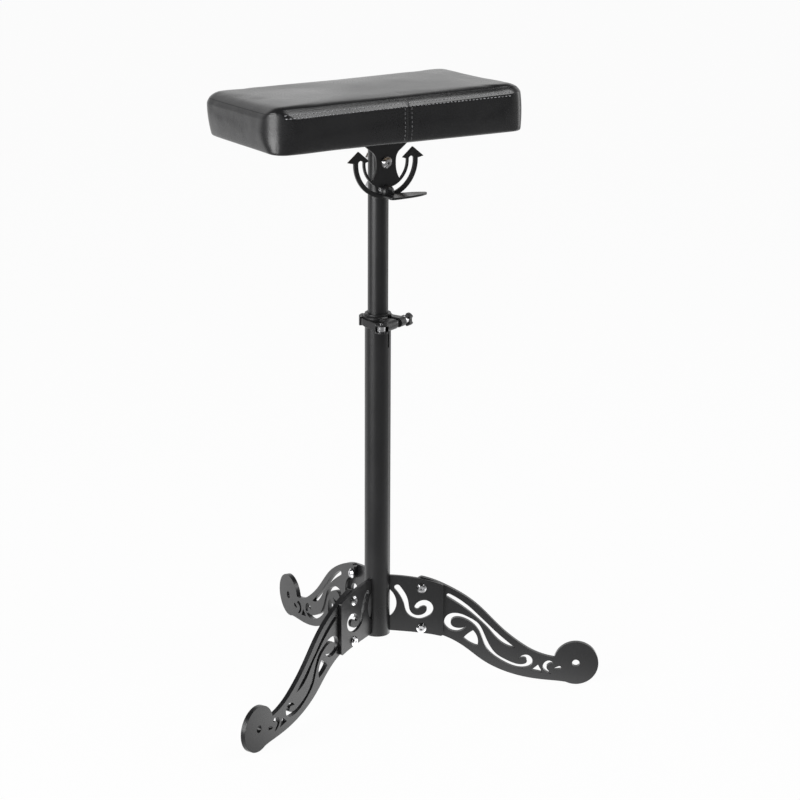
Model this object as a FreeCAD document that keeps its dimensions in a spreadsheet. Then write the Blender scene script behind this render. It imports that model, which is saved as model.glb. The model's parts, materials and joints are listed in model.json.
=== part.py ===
"""Tattoo arm rest stand: a leatherette pad that tilts on a telescopic column with three cut plate legs.

Millimetres, +Z up. The origin lies on the floor under the column's axis. The pad's long side is along X,
its front faces -Y, and the stand is shown at the height and tilt of the photograph.
"""
import FreeCAD
import Part
import Sketcher

import math
import os

from FreeCAD import Placement, Rotation, Vector

DOC = FreeCAD.newDocument("arm_rest_stand")

# Driving dimensions, each with a plain note
SIZES = {
    # column
    "outer_d": (32.0, "outer tube, outside"),
    "outer_wall": (1.5, "outer tube, wall"),
    "outer_low": (66.0, "open lower end of the outer tube above the floor"),
    "outer_len": (416.0, "outer tube, length"),
    "inner_d": (25.0, "inner tube, outside"),
    "inner_wall": (1.5, "inner tube, wall"),
    "inner_low": (150.0, "lower end of the inner tube above the floor, as shown"),
    "inner_rise": (14.0, "inner tube above the tilt pivot"),
    "pivot_high": (672.0, "tilt pivot above the floor, as shown"),
    "running_fit": (0.05, "radial clearance of what turns or slides"),
    "seat_gap": (0.1, "gap between faces that slide past each other"),
    "bush_len": (40.0, "guide bush inside the outer tube"),
    "bush_rim": (2.0, "rim of the guide bush, thickness"),
    "bush_slit": (2.0, "slit along the guide bush"),
    "slit_wide": (2.2, "slit in the outer tube"),
    "slit_long": (40.0, "slit in the outer tube, length"),
    # quick-release clamp
    "clamp_turn": (-65.0, "direction of the clamp's split, degrees from +X"),
    "collar_wall": (2.5, "collar, wall"),
    "collar_fit": (0.05, "collar on the tube, radial"),
    "collar_rise": (15.0, "collar, height"),
    "collar_bevel": (1.5, "collar, bevel of its rims"),
    "rod_reach": (11.0, "tube surface to the rod's axis"),
    "rod_d": (6.0, "clamp rod"),
    "hole_fit": (0.25, "radial clearance of fastener holes"),
    "ear_wide": (10.0, "each ear of the collar, along the rod"),
    "ear_gap": (8.0, "gap between the ears"),
    "ear_round": (6.0, "ear, radius round the rod"),
    "ferrule_long": (6.0, "ferrule under the thumb nut, length"),
    "ferrule_d": (10.0, "ferrule under the thumb nut"),
    "thumb_long": (7.0, "thumb nut, length"),
    "thumb_d": (16.0, "thumb nut over its lobes"),
    "thumb_root_d": (10.4, "thumb nut between its lobes"),
    "thumb_bevel": (0.8, "thumb nut, bevel at both ends"),
    "rod_stub": (1.5, "rod past the thumb nut"),
    "pin_out": (31.0, "cam pin from the middle of the split, along the rod"),
    "pin_d": (4.0, "cam pin"),
    "pin_stub": (1.0, "cam pin past the cam"),
    "eye_d": (10.0, "eye at the rod's end"),
    "eye_wide": (6.6, "eye, height"),
    "eye_fit": (0.3, "gap round the eye in the cam's fork"),
    "cam_d": (16.0, "cam"),
    "cam_high": (11.0, "cam, height"),
    "cam_shift": (0.8, "cam's centre off its pin"),
    "cam_fit": (0.2, "cam to its seat"),
    "cam_seat_d": (12.0, "cam seat"),
    "cam_seat_rim": (2.0, "cam seat past the hollow of its face"),
    "arm_thick": (2.5, "clamp lever, thickness"),
    "arm_high": (8.0, "clamp lever, height"),
    "arm_clear": (0.7, "collar to the closed lever"),
    "arm_tip_turn": (192.0, "clamp lever's tip, degrees from the split"),
    "grip_wall": (1.3, "grip over the lever, wall"),
    "grip_fit": (0.05, "grip on the lever"),
    "grip_past": (1.8, "grip past the lever's end"),
    # wings and legs
    "wing_t": (4.0, "wing plate"),
    "leg_t": (6.0, "leg plate"),
    "wing_low": (69.5, "wing's lower edge at the tube, above the floor"),
    "wing_rise": (74.0, "wing's height at the tube"),
    "wing_reach": (83.5, "wing's end from the column's axis"),
    "wing_corner": (3.0, "wing's outer corners"),
    "moon_half": (24.2, "half-moon hole, radius about the column's axis"),
    "screw_out": (56.0, "leg screws from the column's axis"),
    "screw_low": (73.5, "lower leg screw above the floor"),
    "screw_pitch": (54.0, "leg screws, apart"),
    "lobe_half": (6.5, "leg's inner end round its screws"),
    "recess_deep": (19.5, "recess in the leg's inner end"),
    "foot_reach": (252.0, "foot disc's centre from the column's axis"),
    "foot_d": (57.0, "foot disc"),
    "foot_hole_d": (9.5, "hole in the foot disc"),
    "scroll_wide": (6.0, "mean width of the scroll cut-outs"),
    "screw_d": (6.0, "leg screw"),
    "screw_head_d": (12.5, "leg screw, head"),
    "screw_head_rise": (3.4, "leg screw, head height"),
    "screw_stub": (1.5, "leg screw past its nut"),
    "recess_d": (3.4, "six-sided recess, across its corners"),
    "recess_deep_in": (1.8, "six-sided recess, depth"),
    "nut_flats": (10.0, "leg nut across flats"),
    "nut_thick": (5.0, "leg nut"),
    # tilt head
    "plate_t": (3.0, "tilt bracket plate"),
    "spacer_d": (12.0, "saddle spacers"),
    "spacer_long": (3.5, "saddle spacer, from the tube's crown"),
    "tilt_washer_d": (14.0, "washers at the tilt plate"),
    "tilt_washer_t": (1.2, "washers at the tilt plate, thickness"),
    "tilt_bolt_d": (6.0, "pivot and lock bolts"),
    "tilt_head_d": (13.0, "pivot bolt, head"),
    "tilt_head_rise": (3.8, "pivot bolt, head height"),
    "tilt_nut_thick": (5.5, "nut or head behind the tube"),
    "tilt_stub": (2.0, "pivot bolt past its nut"),
    "slot_half": (34.5, "lock slot's middle line, radius about the pivot"),
    "slot_wide": (7.0, "lock slot, width"),
    "slot_swing": (92.0, "lock slot each way from straight down, degrees"),
    "band_in": (28.2, "anchor's arm, inner radius"),
    "band_out": (43.5, "anchor's arm, outer radius"),
    "barb_out": (51.5, "outer barb from the middle"),
    "barb_in": (23.0, "inner barb from the middle"),
    "barb_high": (3.4, "barbs above the pivot"),
    "tip_out": (37.0, "arrow tip from the middle"),
    "tip_high": (15.5, "arrow tip above the pivot"),
    "neck_half": (13.2, "neck of the bracket, half width"),
    "notch_out": (19.0, "notch between neck and arm, from the middle"),
    "notch_half": (1.6, "notch, radius"),
    "flange_rise": (28.0, "flange's underside above the pivot"),
    "flange_wide": (70.0, "flange, width"),
    "flange_long": (78.0, "flange, from the plate's front"),
    "flange_corner": (8.0, "flange, rear corners"),
    "lock_nut_d": (15.0, "lock nut"),
    "lock_nut_long": (8.5, "lock nut, length"),
    "lock_bore_deep": (6.5, "lock nut, bore"),
    "lock_plate_t": (2.5, "lock lever plate"),
    "lock_plate_drop": (3.5, "lock lever plate below the lock bolt's axis"),
    "lock_reach": (47.5, "lock lever, tip from the bolt"),
    "lock_tail": (7.5, "lock lever, rounded end behind the bolt"),
    "lock_deep": (25.0, "lock lever, front to back"),
    "lock_tip_half": (3.5, "lock lever, tip radius"),
    # pad
    "pad_long": (330.0, "pad, length"),
    "pad_wide": (190.0, "pad, width"),
    "pad_side": (49.0, "pad's sides, height above the board's underside"),
    "pad_crown": (2.5, "crown over the sides"),
    "pad_draw": (4.0, "sides drawn in at the bottom"),
    "pad_corner": (20.0, "pad, corners in plan"),
    "pad_edge": (10.0, "pad, rounding of the top edge"),
    "pad_back": (28.0, "pad's middle behind the column's axis"),
    "board_t": (12.0, "plywood board"),
    "cover_wall": (2.0, "cover beside the board"),
    "soft_gap": (0.3, "soft pieces to rigid ones"),
    "hem_t": (1.0, "turned-under hem"),
    "hem_wide": (24.0, "turned-under hem, width"),
    "board_screw_d": (5.0, "board screw"),
    "board_head_d": (10.0, "board screw, head"),
    "board_head_rise": (2.8, "board screw, head height"),
    "insert_d": (8.0, "threaded insert"),
    "insert_long": (10.0, "threaded insert, length"),
    "hole_across": (50.0, "board screws, apart along the pad"),
    "hole_apart": (44.0, "board screws, apart across the pad"),
    # shared
    "overrun": (2.0, "how far a cut runs past the metal"),
    "arc_fit": (0.05, "how closely a run of arcs follows a smooth curve"),
}

# Counts and directions in degrees; the legs stand a little turned against the pad, as they are shown
THUMB_LOBES = 3
BASE_TURN = -3.0
LEG_TURNS = {"right": BASE_TURN - 30.0, "rear": BASE_TURN + 90.0, "left": BASE_TURN + 210.0}
LEG_SIDES = {"right": 1, "rear": 1, "left": -1}
HEAD_SIDES = {"right": -1, "rear": 1, "left": 1}

# Outline shares. Legs: along the reach from screw to foot, up the wing's top, and stroke width.
LEG_TOP_SHARES = [(0.0, 0.980), (0.10, 0.938), (0.20, 0.873), (0.30, 0.790), (0.38, 0.700), (0.46, 0.588),
                  (0.54, 0.481), (0.63, 0.383), (0.72, 0.306), (0.79, 0.268)]
LEG_BOTTOM_SHARES = [(0.08, 0.458), (0.15, 0.430), (0.23, 0.377), (0.31, 0.301), (0.385, 0.220),
                     (0.46, 0.158), (0.54, 0.110), (0.62, 0.075), (0.70, 0.052), (0.78, 0.038), (0.86, 0.030)]
LONG_SLOT_SHARES = [(0.172, 0.812, 0.92), (0.227, 0.767, 1.03), (0.301, 0.693, 0.92), (0.371, 0.606, 0.75),
                    (0.436, 0.519, 0.74), (0.490, 0.440, 1.00), (0.543, 0.378, 0.98), (0.606, 0.331, 0.0)]
SCROLL_SHARES = [(0.288, 0.523, 0.0), (0.261, 0.500, 0.53), (0.226, 0.491, 0.95), (0.190, 0.507, 1.10),
                 (0.167, 0.554, 1.35), (0.181, 0.608, 1.35), (0.226, 0.627, 1.07), (0.273, 0.613, 0.87),
                 (0.314, 0.585, 0.83), (0.354, 0.544, 0.95), (0.383, 0.484, 0.80), (0.406, 0.411, 0.80),
                 (0.433, 0.330, 0.95), (0.476, 0.261, 0.77), (0.541, 0.204, 0.82), (0.608, 0.165, 0.87),
                 (0.663, 0.160, 0.95), (0.697, 0.184, 1.15), (0.699, 0.226, 1.15), (0.676, 0.251, 0.90),
                 (0.652, 0.246, 0.55), (0.627, 0.227, 0.0)]
CRESCENT_SHARES = [(0.850, 0.192, 0.33), (0.816, 0.195, 0.90), (0.799, 0.159, 0.80), (0.815, 0.119, 0.55),
                   (0.842, 0.093, 0.0)]
DROP_SHARES = [(0.868, 0.142, 0.50), (0.894, 0.151, 0.80)]
SAIL_SHARES = [[(0.333, 0.490), (0.363, 0.415), (0.362, 0.339)], [(0.362, 0.339), (0.319, 0.362), (0.269, 0.415)],
               [(0.269, 0.415), (0.298, 0.456), (0.333, 0.490)]]
WEDGE_SHARES = [[(0.756, 0.176), (0.785, 0.102)], [(0.785, 0.102), (0.711, 0.122)], [(0.711, 0.122), (0.756, 0.176)]]
DISC_TOP_TURN = 166.0
DISC_BOTTOM_TURN = -115.0

# Wings: along the reach from the tube's surface, up the wing's height, and stroke width
WING_TOP_SHARES = [(1.0, 0.838), (0.74, 0.916), (0.49, 0.961), (0.25, 0.988), (0.0, 1.0)]
WING_BOTTOM_SHARES = [(0.0, 0.004), (0.36, -0.016), (0.68, -0.043), (1.0, -0.095)]
HOOK_SHARES = [(0.139, 0.782, 1.33), (0.210, 0.695, 1.25), (0.274, 0.586, 1.17), (0.308, 0.482, 0.97),
               (0.333, 0.376, 0.88), (0.384, 0.303, 0.85), (0.459, 0.262, 0.80), (0.547, 0.251, 0.92),
               (0.643, 0.277, 0.92), (0.720, 0.331, 1.15), (0.750, 0.401, 1.35), (0.723, 0.476, 1.42),
               (0.645, 0.508, 1.42), (0.560, 0.486, 1.25), (0.505, 0.436, 1.0)]

# Flare of the tilt bracket, as shares of half its neck and of its rise to the flange
FLARE_SHARES = [(1.02, -0.25), (1.0, 0.0), (1.04, 0.20), (1.25, 0.40), (1.65, 0.56), (2.15, 0.75), (2.65, 1.0)]
# Lock lever from tip to tail: shares of its reach and of its depth, one edge
LOCK_EDGE_SHARES = [(0.72, 0.33), (0.42, 0.44), (0.12, 0.50)]
# Cushion sections: shares of the whole height and of the sides' draw
CUSHION_SHARES = [(0.0, 1.0), (0.5, 0.0), (1.0, 0.5)]
GRIP_START_SHARE = 0.30
# Screw heads: height of the upright rim, and width of the flat crown
HEAD_RIM_SHARE = 0.35
HEAD_CROWN_SHARE = 0.62
# Lock nut's dome: shares of its radius outwards and back from its front
LOCK_DOME_SHARES = [(1.0, 0.5), (0.8, 0.2), (0.4, 0.0)]
LOCK_TIP_TURN = 75.0


class Dim:
    """A size known both as a number and as a formula on the sheet."""

    def __init__(self, value, text):
        self.value = float(value)
        self.text = text

    def _join(self, other, sign, value):
        return Dim(value, f"({self.text} {sign} {other.text})")

    def __add__(self, other):
        other = dim(other)
        return self._join(other, "+", self.value + other.value)

    def __radd__(self, other):
        return dim(other) + self

    def __sub__(self, other):
        other = dim(other)
        return self._join(other, "-", self.value - other.value)

    def __rsub__(self, other):
        return dim(other) - self

    def __mul__(self, other):
        other = dim(other)
        return self._join(other, "*", self.value * other.value)

    def __rmul__(self, other):
        return dim(other) * self

    def __truediv__(self, other):
        other = dim(other)
        return self._join(other, "/", self.value / other.value)

    def __neg__(self):
        return Dim(-self.value, f"(-1 * {self.text})")

    def __float__(self):
        return self.value


def dim(item):
    """Give a plain number the same form as a size."""
    return item if isinstance(item, Dim) else Dim(item, repr(float(item)))


class Sizes:
    """The sheet's cells, read as S.name."""

    def __init__(self, table):
        self.sheet = DOC.addObject("Spreadsheet::Sheet", "sizes")
        for row, (name, (value, note)) in enumerate(table.items(), 1):
            self.sheet.set(f"A{row}", name)
            self.sheet.set(f"B{row}", str(value))
            self.sheet.set(f"C{row}", note)
            self.sheet.setAlias(f"B{row}", name)
        DOC.recompute()

    def __getattr__(self, name):
        return Dim(self.sheet.get(name), f"sizes.{name}")


S = Sizes(SIZES)
ZERO = Dim(0, "0")


# Shared modelling steps

def new_body(name, turn=0.0, at=(ZERO, ZERO, ZERO)):
    """A named body, turned about Z and moved to a bound place."""
    body = DOC.addObject("PartDesign::Body", name)
    body.Label = name
    body.Placement = Placement(Vector(*[float(v) for v in at]), Rotation(Vector(0, 0, 1), turn))
    for letter, value in zip("xyz", at):
        if value.text != "0":
            body.setExpression(f"Placement.Base.{letter}", value.text)
    return body


def new_sketch(body, name, role="XY_Plane", lift=ZERO):
    """A sketch on one of the body's own origin planes, lifted along the plane's normal."""
    plane = next(f for f in body.Origin.OriginFeatures if f.Role == role)
    sketch = body.newObject("Sketcher::SketchObject", f"{body.Name}_{name}")
    sketch.AttachmentSupport = (plane, [""])
    sketch.MapMode = "FlatFace"
    sketch.AttachmentOffset = Placement(Vector(0, 0, float(lift)), Rotation())
    if lift.text != "0":
        sketch.setExpression("AttachmentOffset.Base.z", lift.text)
    return sketch


def bind_constraint(sketch, value, *place):
    """Add a dimension to a sketch and tie it to its formula."""
    index = sketch.addConstraint(Sketcher.Constraint(*place, float(value)))
    sketch.setExpression(f"Constraints[{index}]", value.text)


def bind_point(sketch, edge, end, x, y):
    """Tie a point of a sketch to its place."""
    if x.text == "0":
        sketch.addConstraint(Sketcher.Constraint("PointOnObject", edge, end, -2))
    else:
        bind_constraint(sketch, x, "DistanceX", -1, 1, edge, end)
    if y.text == "0":
        sketch.addConstraint(Sketcher.Constraint("PointOnObject", edge, end, -1))
    else:
        bind_constraint(sketch, y, "DistanceY", -1, 1, edge, end)


def circle(sketch, diameter, x=ZERO, y=ZERO):
    """A circle with a bound diameter and centre."""
    shape = Part.Circle(Vector(float(x), float(y), 0), Vector(0, 0, 1), float(diameter) / 2)
    edge = sketch.addGeometry(shape, False)
    bind_constraint(sketch, diameter, "Diameter", edge)
    bind_point(sketch, edge, 3, x, y)


def polygon(sketch, points):
    """A closed run of straight edges with every corner bound."""
    places = [Vector(float(x), float(y), 0) for x, y in points]
    first = sketch.GeometryCount
    count = len(points)
    for i in range(count):
        sketch.addGeometry(Part.LineSegment(places[i], places[(i + 1) % count]), False)
    for i in range(count):
        sketch.addConstraint(Sketcher.Constraint("Coincident", first + i, 2, first + (i + 1) % count, 1))
    for i, (x, y) in enumerate(points):
        bind_point(sketch, first + i, 1, x, y)


def outline(sketch, curves):
    """Curves worked out from the sizes, held where they are."""
    for curve in curves:
        edge = sketch.addGeometry(curve, False)
        sketch.addConstraint(Sketcher.Constraint("Block", edge))


def finish_feature(feature, profile):
    """Hide the sketch and build the feature."""
    profile.Visibility = False
    DOC.recompute()
    return feature


def pad(body, profile, length, both=False, back=False):
    """Raise a sketch into a solid."""
    feature = body.newObject("PartDesign::Pad", f"{profile.Name}_pad")
    feature.Profile = profile
    feature.setExpression("Length", length.text)
    feature.SideType = "Symmetric" if both else "One side"
    feature.Reversed = back
    return finish_feature(feature, profile)


def pocket(body, profile, depth=None, both=True, back=False):
    """Cut a sketch out of a solid, through all of it where no depth is given."""
    before = body.Shape.Volume
    feature = body.newObject("PartDesign::Pocket", f"{profile.Name}_pocket")
    feature.Profile = profile
    if depth is None:
        feature.Type = "ThroughAll"
    else:
        feature.Type = "Length"
        feature.setExpression("Length", depth.text)
    feature.SideType = "Symmetric" if both else "One side"
    feature.Reversed = back
    finish_feature(feature, profile)
    if body.Shape.Volume >= before:
        raise RuntimeError(f"{profile.Name} cuts nothing")
    return feature


def fillet(body, feature, name, wanted, radius):
    """Round the edges that a test picks."""
    rounding = body.newObject("PartDesign::Fillet", name)
    rounding.Base = (feature, [f"Edge{i}" for i, edge in enumerate(feature.Shape.Edges, 1) if wanted(edge)])
    rounding.setExpression("Radius", radius.text)
    DOC.recompute()


def revolve(body, profile):
    """Turn a sketch once round its own upright axis."""
    feature = body.newObject("PartDesign::Revolution", f"{profile.Name}_turned")
    feature.Profile = profile
    feature.ReferenceAxis = (profile, ["V_Axis"])
    feature.Angle = 360
    return finish_feature(feature, profile)


def group(name, master, places):
    """Several loose copies of one piece, kept as separate solids of one node."""
    solids = []
    for place in places:
        copy = master.Shape.copy()
        copy.Placement = place.multiply(copy.Placement)
        solids.append(copy)
    node = DOC.addObject("Part::Feature", name)
    node.Label = name
    node.Shape = Part.Compound(solids)
    return node


def spline(points):
    """A smooth curve through points."""
    curve = Part.BSplineCurve()
    curve.interpolate(points)
    return curve


def smooth(points):
    """A smooth run through points, made of arcs that touch."""
    return spline(points).toBiArcs(float(S.arc_fit))


def line(start, end):
    """A straight edge."""
    return Part.LineSegment(start, end)


def arc(start, middle, end):
    """A round edge through three points."""
    return Part.Arc(start, middle, end)


def polar(centre, radius, degrees):
    """A point on a circle."""
    angle = math.radians(degrees)
    return centre + Vector(math.cos(angle), math.sin(angle), 0) * radius


def stroke(shares, place, width):
    """The outline of a tapering stroke: a pointed end where its width is nothing, a round one elsewhere."""
    middle = [place(u, v) for u, v, _ in shares]
    halves = [w * width / 2 for _, _, w in shares]
    path = spline(middle)
    near, far, headings = [], [], []
    for point, half in zip(middle, halves):
        heading = Vector(*path.tangent(path.parameter(point))[0])
        across = Vector(-heading.y, heading.x, 0)
        headings.append(heading)
        near.append(point + across * half)
        far.append(point - across * half)
    curves = smooth(near) + smooth(far)
    if halves[-1] > 0:
        curves.append(arc(near[-1], middle[-1] + headings[-1] * halves[-1], far[-1]))
    if halves[0] > 0:
        curves.append(arc(near[0], middle[0] - headings[0] * halves[0], far[0]))
    return curves


def sides(runs, place):
    """A closed outline made of several smooth runs."""
    curves = []
    for run in runs:
        points = [place(u, v) for u, v in run]
        curves += smooth(points) if len(points) > 2 else [line(*points)]
    return curves


# Column

OUTER_HALF = S.outer_d / 2
INNER_HALF = S.inner_d / 2
OUTER_TOP = S.outer_low + S.outer_len
OUTER_BORE = S.outer_d - S.outer_wall * 2


def outer_tube():
    """The standing tube, open at both ends and slit below the clamp."""
    body = new_body("outer_tube", turn=float(S.clamp_turn), at=(ZERO, ZERO, S.outer_low))
    ring = new_sketch(body, "ring")
    circle(ring, S.outer_d)
    circle(ring, OUTER_BORE)
    pad(body, ring, S.outer_len)
    slit = new_sketch(body, "slit", "YZ_Plane")
    half = S.slit_wide / 2
    low = S.outer_len - S.slit_long
    high = S.outer_len + S.overrun
    polygon(slit, [(-half, low), (half, low), (half, high), (-half, high)])
    pocket(body, slit, S.outer_d, both=False, back=True)


def inner_tube():
    """The sliding tube, drilled for the pivot and lock bolts."""
    body = new_body("inner_tube", at=(ZERO, ZERO, S.inner_low))
    ring = new_sketch(body, "ring")
    circle(ring, S.inner_d)
    circle(ring, S.inner_d - S.inner_wall * 2)
    pad(body, ring, S.pivot_high + S.inner_rise - S.inner_low)
    holes = new_sketch(body, "bolt_holes", "XZ_Plane")
    hole = S.tilt_bolt_d + S.hole_fit * 2
    circle(holes, hole, ZERO, S.pivot_high - S.inner_low)
    circle(holes, hole, ZERO, S.pivot_high - S.slot_half - S.inner_low)
    pocket(body, holes)


def guide_bush():
    """The slit plastic sleeve that guides the inner tube in the mouth of the outer one."""
    body = new_body("guide_bush", turn=float(S.clamp_turn), at=(ZERO, ZERO, OUTER_TOP))
    half = new_sketch(body, "half", "XZ_Plane")
    bore = INNER_HALF + S.running_fit
    barrel = OUTER_BORE / 2 - S.running_fit
    under = S.seat_gap
    top = S.seat_gap + S.bush_rim
    polygon(half, [(bore, -S.bush_len), (barrel, -S.bush_len), (barrel, under), (OUTER_HALF, under),
                   (OUTER_HALF, top), (bore, top)])
    revolve(body, half)
    slit = new_sketch(body, "slit")
    wide = S.bush_slit / 2
    polygon(slit, [(ZERO, -wide), (OUTER_HALF + S.overrun, -wide), (OUTER_HALF + S.overrun, wide), (ZERO, wide)])
    pocket(body, slit)


# Quick-release clamp. Its bodies are turned so that +X runs through the split and +Y along the rod.

COLLAR_HALF = OUTER_HALF + S.collar_fit + S.collar_wall
ROD_OUT = OUTER_HALF + S.rod_reach
CLAMP_MID = OUTER_TOP - S.collar_rise / 2
EAR_FACE = S.ear_gap / 2 + S.ear_wide
CAM_HALF = S.cam_d / 2


def clamp_body(name):
    """A body whose origin is on the column's axis at the clamp's middle height."""
    return new_body(name, turn=float(S.clamp_turn), at=(ZERO, ZERO, CLAMP_MID))


def clamp_collar():
    """The split ring and its two ears."""
    body = clamp_body("clamp_collar")
    ring = new_sketch(body, "ring", "XZ_Plane")
    inset, upright = COLLAR_HALF - S.collar_bevel, S.collar_rise / 2 - S.collar_bevel
    end = S.collar_rise / 2
    polygon(ring, [(ZERO, -end), (inset, -end), (COLLAR_HALF, -upright), (COLLAR_HALF, upright), (inset, end),
                   (ZERO, end)])
    revolve(body, ring)
    ear = new_sketch(body, "ear", "XZ_Plane")
    centre = Vector(float(ROD_OUT), 0, 0)
    half = float(S.ear_round)
    low, high = Vector(0, -half, 0), Vector(0, half, 0)
    outline(ear, [line(low, centre + low), arc(centre + low, centre + Vector(half, 0, 0), centre + high),
                  line(centre + high, high), line(high, low)])
    pad(body, ear, EAR_FACE * 2, both=True)
    bore = new_sketch(body, "bore")
    circle(bore, S.outer_d + S.collar_fit * 2)
    pocket(body, bore)
    split = new_sketch(body, "split")
    wide = S.ear_gap / 2
    end = ROD_OUT + S.ear_round + S.overrun
    polygon(split, [(ZERO, -wide), (end, -wide), (end, wide), (ZERO, wide)])
    pocket(body, split)
    drilled = new_sketch(body, "rod_hole", "XZ_Plane")
    circle(drilled, S.rod_d + S.hole_fit * 2, ROD_OUT)
    pocket(body, drilled)


THUMB_START = EAR_FACE + S.ferrule_long + S.seat_gap
THUMB_END = THUMB_START + S.thumb_long


def clamp_rod():
    """The rod through both ears, with a flat eye for the cam pin."""
    body = clamp_body("clamp_rod")
    eye = new_sketch(body, "eye")
    circle(eye, S.eye_d, ROD_OUT, -S.pin_out)
    pad(body, eye, S.eye_wide, both=True)
    section = new_sketch(body, "section", "XZ_Plane", lift=S.pin_out)
    circle(section, S.rod_d, ROD_OUT)
    pad(body, section, S.pin_out + THUMB_END + S.rod_stub, back=True)
    drilled = new_sketch(body, "pin_hole")
    circle(drilled, S.pin_d, ROD_OUT, -S.pin_out)
    pocket(body, drilled)


def cam_pin():
    """The pin that the clamp lever turns on."""
    body = clamp_body("cam_pin")
    round_bar = new_sketch(body, "round")
    circle(round_bar, S.pin_d, ROD_OUT, -S.pin_out)
    pad(body, round_bar, S.cam_high + S.pin_stub * 2, both=True)


def cam_seat():
    """The hollow-faced seat between ear and cam."""
    body = clamp_body("cam_seat")
    lift = S.pin_out - S.cam_shift - CAM_HALF + S.cam_seat_rim
    section = new_sketch(body, "section", "XZ_Plane", lift=EAR_FACE)
    circle(section, S.cam_seat_d, ROD_OUT)
    pad(body, section, lift - EAR_FACE)
    hollow = new_sketch(body, "hollow")
    circle(hollow, S.cam_d + S.cam_fit * 2, ROD_OUT, S.cam_shift - S.pin_out)
    pocket(body, hollow)
    drilled = new_sketch(body, "rod_hole", "XZ_Plane")
    circle(drilled, S.rod_d + S.hole_fit * 2, ROD_OUT)
    pocket(body, drilled)


def lever_path(offset):
    """Where the lever's face at this offset from its middle starts at the pin and meets its round part."""
    radius = float(COLLAR_HALF + S.arm_clear + S.arm_thick / 2) + offset
    pin = Vector(float(ROD_OUT), -float(S.pin_out), 0)
    middle = radius - offset
    bearing = math.degrees(math.atan2(pin.y, pin.x) - math.acos(middle / pin.Length))
    start = pin + polar(Vector(), offset, bearing)
    return start, radius, bearing


def lever_band(inner, outer, start, past):
    """The lever's strip between two offsets from its middle line.

    The line runs straight from the pin, then round the collar. start is the share of the round part
    where the strip begins, or None for the whole lever; past is a length beyond its end.
    """
    pin_far, far, bearing = lever_path(outer)
    pin_near, near, _ = lever_path(inner)
    bearing += 360.0
    origin = Vector()
    tip = float(S.arm_tip_turn) - math.degrees(past / float(COLLAR_HALF))
    first = bearing if start is None else bearing + (tip - bearing) * start
    mean = (first + tip) / 2
    curves = [arc(polar(origin, far, first), polar(origin, far, mean), polar(origin, far, tip)),
              arc(polar(origin, near, first), polar(origin, near, mean), polar(origin, near, tip))]
    if start is None:
        curves += [line(pin_far, polar(origin, far, first)), line(pin_near, polar(origin, near, first)),
                   line(pin_far, pin_near)]
    else:
        curves.append(line(polar(origin, far, first), polar(origin, near, first)))
    half = (far - near) / 2
    centre = polar(origin, near + half, tip)
    curves.append(arc(polar(origin, far, tip), polar(centre, half, tip - 90), polar(origin, near, tip)))
    return curves


def clamp_lever():
    """The steel lever: a curved strip with a forked cam."""
    body = clamp_body("clamp_lever")
    half = float(S.arm_thick) / 2
    strip = new_sketch(body, "strip")
    outline(strip, lever_band(-half, half, None, 0.0))
    pad(body, strip, S.arm_high, both=True)
    cam = new_sketch(body, "cam")
    circle(cam, S.cam_d, ROD_OUT, S.cam_shift - S.pin_out)
    pad(body, cam, S.cam_high, both=True)
    fork = new_sketch(body, "fork", "XZ_Plane")
    high = S.eye_wide / 2 + S.eye_fit
    inner = ROD_OUT - S.eye_d / 2 - S.eye_fit
    outer = ROD_OUT + CAM_HALF + S.overrun
    polygon(fork, [(inner, -high), (outer, -high), (outer, high), (inner, high)])
    pocket(body, fork)
    drilled = new_sketch(body, "pin_hole")
    circle(drilled, S.pin_d + S.running_fit * 2, ROD_OUT, -S.pin_out)
    pocket(body, drilled)


def lever_grip():
    """The plastic cap over the back, edges and tip of the lever."""
    body = clamp_body("lever_grip")
    half = float(S.arm_thick) / 2
    wall = float(S.grip_wall)
    fit = float(S.grip_fit)
    shell = new_sketch(body, "shell")
    outline(shell, lever_band(-half, half + fit + wall, GRIP_START_SHARE, float(S.grip_past)))
    pad(body, shell, S.arm_high + (S.grip_fit + S.grip_wall) * 2, both=True)
    hollow = new_sketch(body, "hollow")
    bite = float(S.overrun)
    outline(hollow, lever_band(-half - bite, half + fit, 0.0, fit))
    pocket(body, hollow, S.arm_high + S.grip_fit * 2)


def rod_ferrule():
    """The bright ferrule between the far ear and the thumb nut."""
    body = clamp_body("rod_ferrule")
    ring = new_sketch(body, "ring", "XZ_Plane", lift=-EAR_FACE)
    circle(ring, S.ferrule_d, ROD_OUT)
    circle(ring, S.rod_d + S.hole_fit * 2, ROD_OUT)
    pad(body, ring, S.ferrule_long, back=True)


def thumb_nut():
    """The lobed nut on the rod's far end."""
    body = clamp_body("thumb_nut")
    star = new_sketch(body, "star", "XZ_Plane", lift=-THUMB_START)
    centre = Vector(float(ROD_OUT), 0, 0)
    tip = float(S.thumb_d) / 2
    root = float(S.thumb_root_d) / 2
    step = 360.0 / THUMB_LOBES
    curves = []
    for i in range(THUMB_LOBES):
        turn = step * (i + 0.5)
        rise = polar(centre, tip, turn - step / 4)
        fall = polar(centre, tip, turn + step / 4)
        curves.append(arc(rise, polar(centre, tip, turn), fall))
        curves.append(arc(fall, polar(centre, root, turn + step / 2), polar(centre, tip, turn + step * 3 / 4)))
    outline(star, curves)
    feature = pad(body, star, S.thumb_long, back=True)
    rims = [f"Edge{i}" for i, edge in enumerate(feature.Shape.Edges, 1)
            if edge.BoundBox.YLength < float(S.seat_gap)]
    bevel = body.newObject("PartDesign::Chamfer", "thumb_nut_bevel")
    bevel.Base = (feature, rims)
    bevel.setExpression("Size", S.thumb_bevel.text)
    DOC.recompute()
    drilled = new_sketch(body, "thread", "XZ_Plane")
    circle(drilled, S.rod_d + S.running_fit * 2, ROD_OUT)
    pocket(body, drilled)


# Wings and legs

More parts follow.
